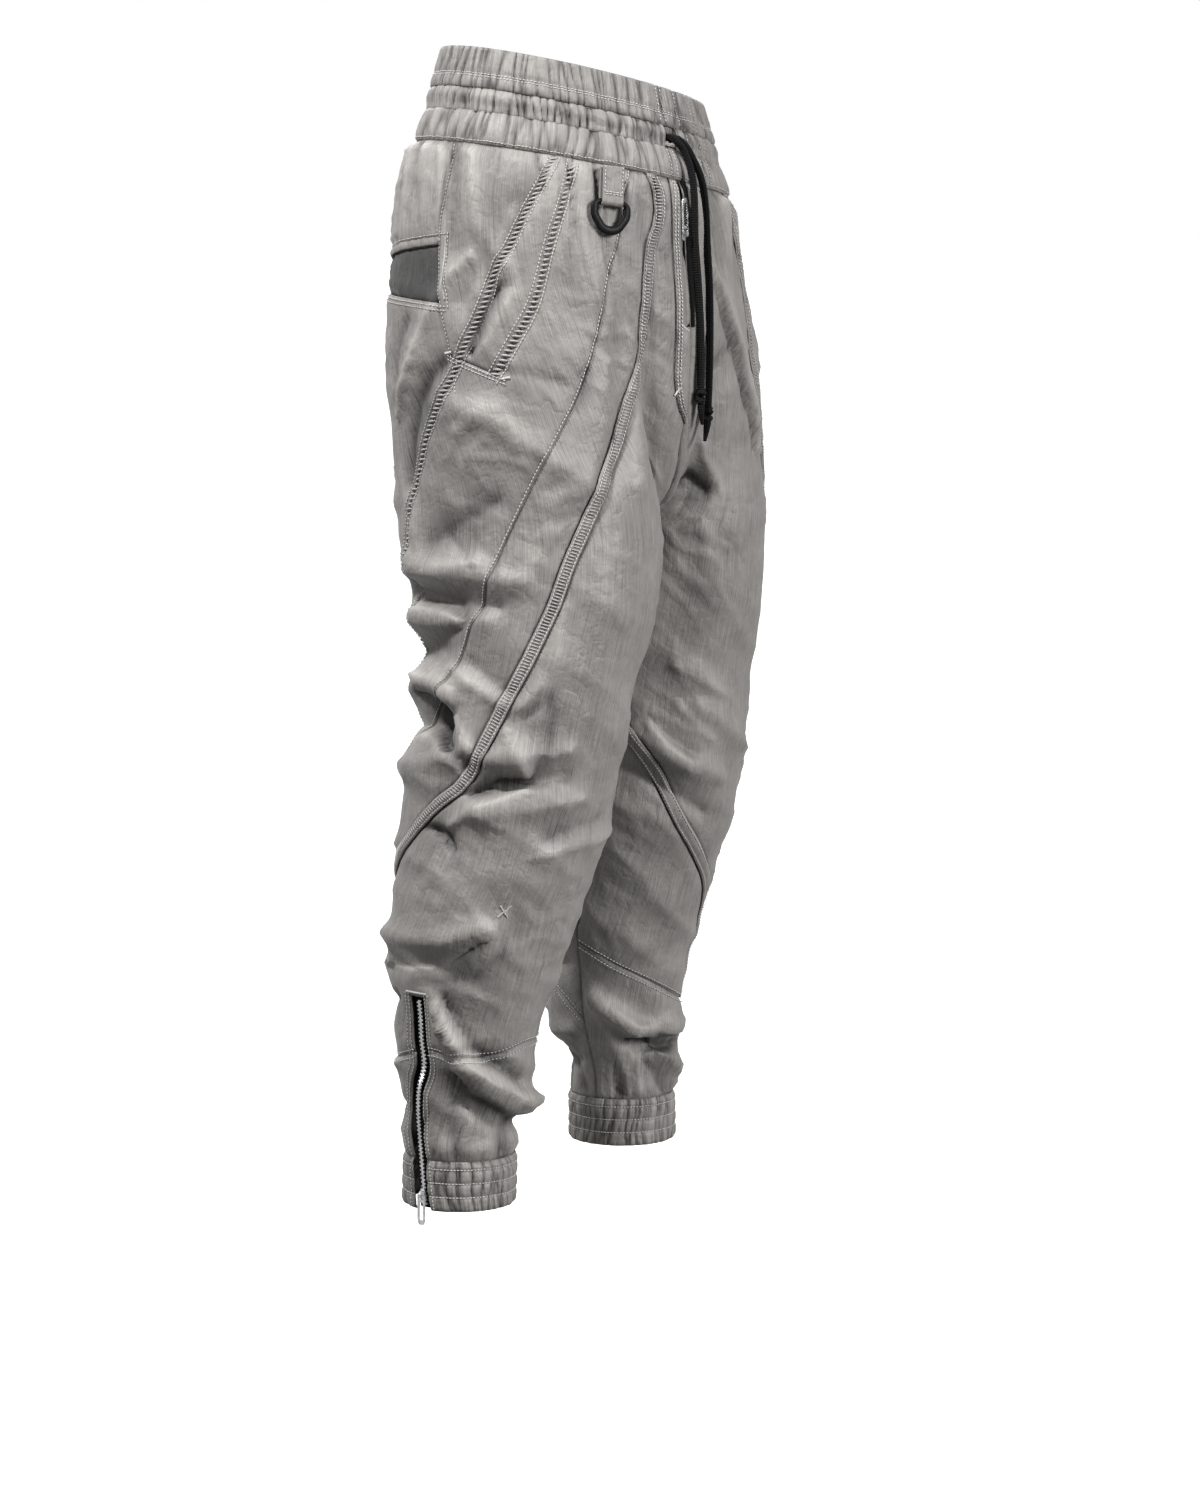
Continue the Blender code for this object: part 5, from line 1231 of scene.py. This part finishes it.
class Sewing:
    """Collects threads or bars and makes one piece of them."""

    def __init__(self, name, mat):
        self.name, self.mat, self.parts, self.count = name, mat, [], 0

    def take(self, verts, faces):
        """Adds some threads."""
        self.parts.append((verts, faces + self.count))
        self.count += len(verts)

    def row(self, side, uv, out):
        """A row of stitches along a curve."""
        p, n, run = traced(side, uv, out + .0004)
        s = np.arange(.001, run[-1] - STITCH, STITCH_STEP)
        zip_tree = opening[side]
        s = s[[zip_tree.find(q)[2] > TAPE / 2 + .0008 for q in at_length(p, run, s + STITCH / 2)]]
        if len(s):
            self.take(*threads(at_length(p, run, s), at_length(p, run, s + STITCH),
                               at_length(n, run, s), THREAD, THREAD * .8))

    def ladder(self, side, uv, near, far, step, slant, radius, out):
        """Bars from near to far beside a curve."""
        a, n, run = traced(side, beside(uv, near), out)
        b, _, run_b = traced(side, beside(uv, far), out)
        s = np.arange(.002, min(run[-1], run_b[-1]) - .004, step)
        self.take(*threads(at_length(a, run, s), at_length(b, run_b, s * run_b[-1] / run[-1] + slant),
                           at_length(n, run, s), radius, radius * .35))

    def path(self, points, away, step=STITCH_STEP):
        """A row of stitches along points in space; away is one normal for each."""
        run = along(points)
        s = np.arange(.0005, run[-1] - STITCH, step)
        self.take(*threads(at_length(points, run, s), at_length(points, run, s + STITCH),
                           at_length(away, run, s), THREAD, THREAD * .8))

    def tack(self, side, u, v, angle, long, wide, out, gap=.00055):
        """Close satin stitches that hold the end of a seam."""
        scale = float(around(v))
        k = np.arange(-long / 2, long / 2, gap)
        d, c = np.array((math.cos(angle), math.sin(angle))), np.array((-math.sin(angle), math.cos(angle)))
        ends = []
        for s in (-.5, .5):
            q = np.outer(k, d) + c * wide * s
            ends.append(on_cloth(side, u + q[:, 0] / scale, v + q[:, 1], np.full(len(k), out)))
        self.take(*threads(ends[0][0], ends[1][0], ends[0][1], THREAD * 1.1, THREAD * .9))

    def made(self):
        """Makes the one piece, sewn to the cloth."""
        verts = np.vstack([v for v, _ in self.parts])
        faces = np.vstack([f for _, f in self.parts])
        ob = piece(self.name, verts, faces, self.mat)
        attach(ob, "trousers")


def outward(points, middle, level=True):
    """Which way is out from the middle of a band, level with the floor."""
    away = points - middle
    if level:
        away[:, 2] = 0
    return unit(away)


# rows of stitches: seam, distances to its upper side, and how far out they lie
EVEN_ROWS = (("B", (.0022,), .0001), ("calf", (.0026, -.0040), .0001), ("pf", (.0048, -.0046), .0002),
             ("pr", (.0048, -.0046), .0002), ("bar", (-.0020, -.0048), .0002),
             ("side", (-.0018,), .0001), ("w1", (.0018,), .0001), ("w3", (-.0022, -.0052), .0001))
LAPPED_ROWS, FACING_ROWS = ((.0017, .0092), .0015), ((-.0020, -.0045), .0011)
ZIP_ROWS = [sign * (TAPE / 2 + off) for sign in (1, -1) for off in (.0020, .0060)]
WELT_ENDS = (((.497, -.148), (.497, -.206)), ((WELT_END + .004, -.158), (WELT_END + .004, -.200)))

for side, word in LEGS:
    c = curves[side]
    leg, rungs = Sewing(f"{word}_leg_topstitching", thread), Sewing(f"{word}_ladder_seams", ribs)
    own_rows = ("shin", *LAPPED_ROWS) if side == LEFT else ("facing", *FACING_ROWS)
    for key, offs, out in (("A", *LAPPED_ROWS), *EVEN_ROWS, own_rows):
        if key == own_rows[0]:
            for end in WELT_ENDS:
                leg.row(side, np.array(end), .0001)
            for off in ZIP_ROWS:
                leg.row(side, beside(line(ZIP_LINE, .004), off), .0001)
        for off in offs:
            leg.row(side, beside(c[key], off), out)
    rungs.ladder(side, c["A"], .0026, .0084, .0028, .0014, .00075, .0019)
    for key in ("pf", "pr"):
        rungs.ladder(side, c[key], -.0032, .0032, .0046, .0046, .00115, .0001)
    tacks = [(ZIP_LINE[0][0], ZIP_LINE[0][1] + .0035, 0, .024, .0022, .0004),
             (*POCKET_BAR[0], -.2, .007, .002, .0006), (*POCKET_BAR[1], -.2, .007, .002, .0006),
             (WELT_TOP[0][0] + .002, -.176, math.pi / 2, .046, .0016, .0004)]
    if side == RIGHT:    # the sewn cross below the knee, and the ends of the fly
        tacks += [(.390, -.693, turn, .013, .0013, .0005, .0009) for turn in (.9, -.75)]
        tacks += [(FLY[0] + .004, FLY[1] - .001, .5, .009, .002, .0008),
                  (.026, -.262, -.9, .008, .002, .0012)]
    for tack in tacks:
        leg.tack(side, *tack)
    leg.made()
    rungs.made()

waist = Sewing("waist_stitching", thread)
for grid, table, heights in ((top_band, TOP_ROWS, (-.0215, -.0235)), (low_band, LOW_ROWS, (-.0760,))):
    for height in heights:
        j = [r[0] for r in table].index(height)
        ring = np.vstack((grid[j], grid[j][:1]))
        away = outward(ring, ring.mean(axis=0))
        waist.path(ring + away * .0003, away)
for grid in (top_band, cord_band, low_band):    # joints of the band beside the centre front
    n = grid.shape[1]
    for i in (3, 9, n - 12, n - 30, n - 36):
        if grid is not cord_band or i > 9:
            column = grid[2:-2, i]
            away = outward(column, grid[2:-2].mean(axis=1))
            waist.path(column + away * .0004, away)
waist.made()

for side, word in LEGS:
    cuff_sewing, grid = Sewing(f"{word}_cuff_stitching", thread), cuffs[side]
    for v in CUFF_STITCHES:
        j = int(np.argmin([abs(r[0] - v) for r in cuff_rows]))
        away = outward(grid[j], grid[j].mean(axis=0), level=False)
        cuff_sewing.path(grid[j] + away * .0003, away, .0030)
    for i in (4, -5):
        away = outward(grid[:, i], grid.mean(axis=1))
        cuff_sewing.path(grid[1:-2, i] + away[1:-2] * .0004, away[1:-2])
    cuff_sewing.made()

# ---- Ankle zips -------------------------------------------------------------------------
# Black woven tape under the edges of the cloth, two rows of bright metal teeth that meet in
# the middle, a slider at the cuff and a slotted pull that swings on the slider's bridge.
ZIP_TOP, ZIP_END, TAPE_OUT, TAPE_WIDE, TOOTH = -.770, -.956, -.0050, .020, .0034
WEFT, WARP, TAPE_THICK = .00075, .0009, .0007            # pitch of its threads, thickness
tape = black_weave("black zip tape", .85, (.010, .010, .011), .0002, ((1 / WEFT, 0), (0, 1 / WARP)))
silver, tree, shader, wear_and_painted_shade = mottled("bright zip metal", (.70, .70, .71), .26, 260, 4, (.50, .50, .51),
                                     (.86, .86, .87), metal=1)
tree.links.new(spread(tree, wear_and_painted_shade, .3, .7, .18, .40), shader.inputs["Roughness"])
relief(tree, shader, noise_of(tree, add(tree, "NewGeometry").outputs["Position"], 1600, 2), .00005, .5)


def woven_tape(name, side, us, vs, wide, out, belly, node):
    """Tape laid along (u, v); belly raises its middle."""
    across = np.linspace(-.5, .5, 13)
    n = len(vs)
    grid, weave = [], []
    for a in across:
        p, _ = cloth(side, us + a * wide / around(vs), vs, np.full(n, out + belly * (1 - (2 * a) ** 4)))
        grid.append(p)
        weave.append(np.c_[np.full(n, a * wide), vs])
    faces = rungs_of(len(across), n, closed=False)
    if side == LEFT:
        faces = [f[::-1] for f in faces]
    ob = piece(name, np.vstack(grid), faces, tape, np.vstack(weave))
    thicken(ob, TAPE_THICK)
    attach(ob, "trousers")
    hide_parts(node)
    return ob


def tooth_rows(name, side, us, vs, half, low, high, node, pitch=TOOTH):
    """Chamfered teeth in two rows that mesh past each other down the line (u, v)."""
    mid, away = cloth(side, us, vs)
    run = along(mid)
    verts, faces = [], []
    for k, s in enumerate(np.arange(.0012, run[-1] - .0012, pitch / 2)):
        o, n = at_length(mid, run, s), at_length(away, run, s)
        d = unit(at_length(mid, run, s + .001) - at_length(mid, run, s - .001))
        x = np.cross(d, n) * (1 if k % 2 else -1)
        b = len(verts)
        for out, near, far, long in ((low, -.0010, half, .8), (low + .0007, -.0012, half, 1),
                                     (high - .0003, -.0012, half, 1), (high, -.0008, half - .0004, .62)):
            long *= pitch * .21
            verts += [o + n * out + x * p + d * q for p, q in ((near, -long), (far, -long * 1.1),
                                                              (far, long * 1.1), (near, long))]
        faces += [tuple(b + i for i in f)
                  for f in rungs_of(4, 4, flip=True) + [(12, 13, 14, 15), (3, 2, 1, 0)]]
    ob = piece(name, verts, faces, silver, flat=True)
    ob.data.update()
    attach(ob, "trousers")
    if node:
        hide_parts(node)


def spot_axes(side, u, v, out):
    """Origin, across, down and away axes on the cloth."""
    p, n = cloth(side, np.array([u]), np.array([v]), np.array([out]))
    q, _ = cloth(side, np.array([u]), np.array([v - .004]), np.array([out]))
    p, n, d = p[0], n[0], q[0] - p[0]
    d = unit(d - n * (d @ n))
    return p, np.cross(d, n), d, n


def rounded(corners, radius):
    """Outline with each corner turned on a small curve."""
    c = np.array(corners, float)
    turned = []
    for i in range(len(c)):
        a, b, d = c[i - 1] - c[i], c[i], c[(i + 1) % len(c)] - c[i]
        r = min(radius, np.linalg.norm(a) * .45, np.linalg.norm(d) * .45)
        p, q = b + unit(a) * r, b + unit(d) * r
        for t in (0, .25, .5, .75, 1):
            turned.append(tuple(p * (1 - t) ** 2 + 2 * b * t * (1 - t) + q * t * t))
    return turned


def plate(name, outline, holes, thick, origin, down, across, away, soften):
    """Flat metal part cut from an outline of (down, across) with holes, its edges eased."""
    loops, pts, edges = [outline] + holes, [], []
    for lp in loops:
        b = len(pts)
        pts += lp
        edges += [(b + i, b + (i + 1) % len(lp)) for i in range(len(lp))]
    vs, _, tris, _, _, _ = delaunay_2d_cdt([Vector(p) for p in pts], edges, [], 0, 1e-9)

    def within(poly, px, py):
        """Whether a point lies inside an outline."""
        hit = False
        for (x0, y0), (x1, y1) in zip(poly, poly[1:] + poly[:1]):
            if (y0 > py) != (y1 > py) and px < (x1 - x0) * (py - y0) / (y1 - y0) + x0:
                hit = not hit
        return hit
    keep = []
    for t in tris:
        mx, my = sum(vs[i][0] for i in t) / 3, sum(vs[i][1] for i in t) / 3
        if within(outline, mx, my) and not any(within(h, mx, my) for h in holes):
            keep.append(tuple(t))
    m = len(vs)
    verts = [origin + down * p[0] + across * p[1] + away * h
             for h in (thick / 2, -thick / 2) for p in vs]
    own = {(t[i], t[(i + 1) % 3]) for t in keep for i in range(3)}
    faces = keep + [tuple(i + m for i in reversed(t)) for t in keep]
    for a, b in own:
        if (b, a) not in own:
            faces += [(b, a, a + m, b + m)]
    if np.cross(down, across) @ away < 0:
        faces = [f[::-1] for f in faces]
    ob = piece(name, verts, faces, silver, flat=True)
    edge = ob.modifiers.new("eased edges", "BEVEL")
    edge.width, edge.segments, edge.limit_method, edge.angle_limit = soften, 2, "ANGLE", .7
    return ob


def slider_and_pull(name, side, u, v, length, way, rides):
    """Slider with a bridge bent over its middle, and the slotted pull hooked through it, down
    the zip (way 1) or up (-1)."""
    o, x, d, n = spot_axes(side, u, v, .0006)
    shield = rounded([(-.0056, -.0016), (-.0030, -.0027), (.0030, -.0027), (.0056, -.0019),
                      (.0056, .0019), (.0030, .0027), (-.0030, .0027), (-.0056, .0016)], .0009)
    base = plate(f"{name}_slider_body", shield, [], .0015, o + n * .0008, d, x, n, .00025)
    arch = through([o + d * a + n * b for a, b in (
        (-.0034, .0014), (-.0031, .0034), (-.0020, .0048), (0, .0051), (.0020, .0048),
        (.0031, .0034), (.0034, .0014))], .0006)
    verts = []
    for p, q in zip(arch, np.cross(x, unit(np.gradient(arch, axis=0)))):
        verts += [p + x * a * .0011 + q * b * .00035 for a, b in ((-1, 1), (1, 1), (1, -1), (-1, -1))]
    bridge = piece(f"{name}_slider_bridge", verts, rungs_of(len(arch), 4, flip=True), silver, flat=True)
    w = .0042            # half the pull's width
    tab = rounded([(-.0007, -w), (length - .004, -w), (length, -w * .62), (length, w * .62),
                   (length - .004, w), (-.0007, w)], .0014)
    eye = rounded([(.0007, -.0028), (.0042, -.0028), (.0042, .0028), (.0007, .0028)], .0006)
    window = rounded([(.0066, -.0021), (length - .0040, -.0021), (length - .0040, .0021),
                     (.0066, .0021)], .0012)
    pull = plate(f"{name}_pull_tab", tab, [eye[::-1], window[::-1]], .0012, o + n * .0030, d * way, x, n,
                 .00028)
    for ob in (base, bridge):
        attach(ob, "trousers")
    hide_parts(f"{name}_slider")
    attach(pull, rides)
    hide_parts(f"{name}_pull")


for side, word in LEGS:
    vs = np.linspace(ZIP_TOP, ZIP_END, 110)
    us = zip_run(vs)
    woven = woven_tape(f"{word}_ankle_tape", side, us, vs, TAPE_WIDE, TAPE_OUT, .0008,
                       f"{word}_ankle_zip_tape")
    vs = np.linspace(ZIP_TOP - .004, ZIP_END + .001, 150)
    tooth_rows(f"{word}_ankle_teeth", side, zip_run(vs), vs, .0026, -.0040, -.0012,
               f"{word}_ankle_zip_teeth")
    slider_and_pull(f"{word}_ankle_zip", side, .526, -.944, .026, 1, f"{word}_ankle_pull")

# ---- Fly zip ----------------------------------------------------------------------------
# A dark tape and fine teeth in the narrow opening beside the stitched facing, its slider near
# the top with a slotted pull that points up.
us = np.full(80, FLY[0] / 2)
vs = np.linspace(WAIST_SEAM - .0010, FLY[1] + .0005, 80)
woven = woven_tape("fly_tape", RIGHT, us, vs, .012, -.0038, .0014, "fly_zip")
vs = np.linspace(-.119, FLY[1] + .003, 80)
tooth_rows("fly_teeth", RIGHT, us, vs, .0013, -.0022, -.0004, None, .0022)
slider_and_pull("fly_zip", RIGHT, .0055, -.124, .030, -1, "fly_pull")

# ---- Hip ring and its tab ---------------------------------------------------------------
# A D-shaped ring of flat-sided black lacquered wire, held by a folded tab of the grey cotton
# that is sewn into the waist seam and hangs over the right hip.
lacquer, tree, shader, wear_and_painted_shade = mottled("black lacquer", (.003, .003, .004), .42, 380, 4,
                                      (.002, .002, .003), (.010, .010, .011))
shader.inputs["Specular IOR Level"].default_value = .08
tree.links.new(spread(tree, wear_and_painted_shade, .3, .7, .36, .52), shader.inputs["Roughness"])
BAR_OUT, BAR_THICK, BAR_SIDES, LOOP = .0052, .0019, 14, .0028
o, x, d, n = spot_axes(RIGHT, .172, -.1095, 0)
bar = o + n * BAR_OUT
outline = ((-.0125, 0), (.0125, 0), (.0154, .0025), (.0152, .0118), (.0080, .0215), (.0030, .0236),
           (-.0030, .0236), (-.0080, .0215), (-.0152, .0118), (-.0154, .0025))
points = np.array([bar + x * a + d * b for a, b in rounded(outline, .0026)])
points = points[np.r_[True, np.linalg.norm(np.diff(points, axis=0), axis=1) > 1e-5]]
side_way = np.cross(unit(np.roll(points, -1, 0) - np.roll(points, 1, 0)), n)
w = 2 * math.pi * np.arange(BAR_SIDES) / BAR_SIDES
broad = BAR_THICK * (1.2 + .75 * ease(((points - bar) @ d - .001) / .004))
verts = (points[:, None] + side_way[:, None] * np.cos(w)[None, :, None] * broad[:, None, None]
         + n * (np.sin(w) * BAR_THICK)[None, :, None]).reshape(-1, 3)
ring = piece("hip_ring_wire", verts, rungs_of(len(points), BAR_SIDES, looped=True), lacquer)
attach(ring, "hip_ring")
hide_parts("ring")

TAB_WIDE = .0200
strap = [(-.0300, .0078), (-.015, .0079), (-.004, .0080)]
strap += [(LOOP * math.sin(a), BAR_OUT + LOOP * math.cos(a)) for a in np.linspace(0, math.pi, 11)]
strap += [(-.004, .0024), (-.015, .0024), (-.0300, .0028)]
middle = through([(a, 0, b) for a, b in strap], .0009)
t = unit(np.gradient(middle, axis=0))
up = np.c_[-t[:, 2], t[:, 0] * 0, t[:, 0]]
run = along(middle)
across = np.linspace(-1, 1, 17)
verts, weave = [], []
for p, q, s in zip(middle, up, run):
    for a in across:
        rim = .0003 * abs(a) ** 6 - .0002 * math.exp(-((abs(a) - .86) / .05) ** 2)
        wave = .0002 * noise.noise((a * 3, s * 240, 2.2))
        r = p + q * (rim + wave)
        verts.append(o + d * r[0] + n * r[2] + x * a * TAB_WIDE / 2)
        weave.append((a * TAB_WIDE / 2 + .4, s))
tab = piece("ring_tab_cloth", verts, rungs_of(len(middle), len(across), closed=False), cotton, weave)
thicken(tab, CLOTH_THICK, 0)
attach(tab, "trousers")
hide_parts("ring_tab")
tab_sewing = Sewing("ring_tab_stitching", thread)
for a in (-.84, .84):
    edge = np.array([o + d * p + n * (q + .0008) + x * a * TAB_WIDE / 2 for p, q in strap[:3]])
    tab_sewing.path(edge, np.tile(n, (3, 1)))
for p in (-.0060, -.0078):
    cross = np.array([o + d * p + n * .0088 + x * a * TAB_WIDE / 2 for a in (-.9, 0, .9)])
    tab_sewing.path(cross, np.tile(n, (3, 1)))
tab_sewing.made()
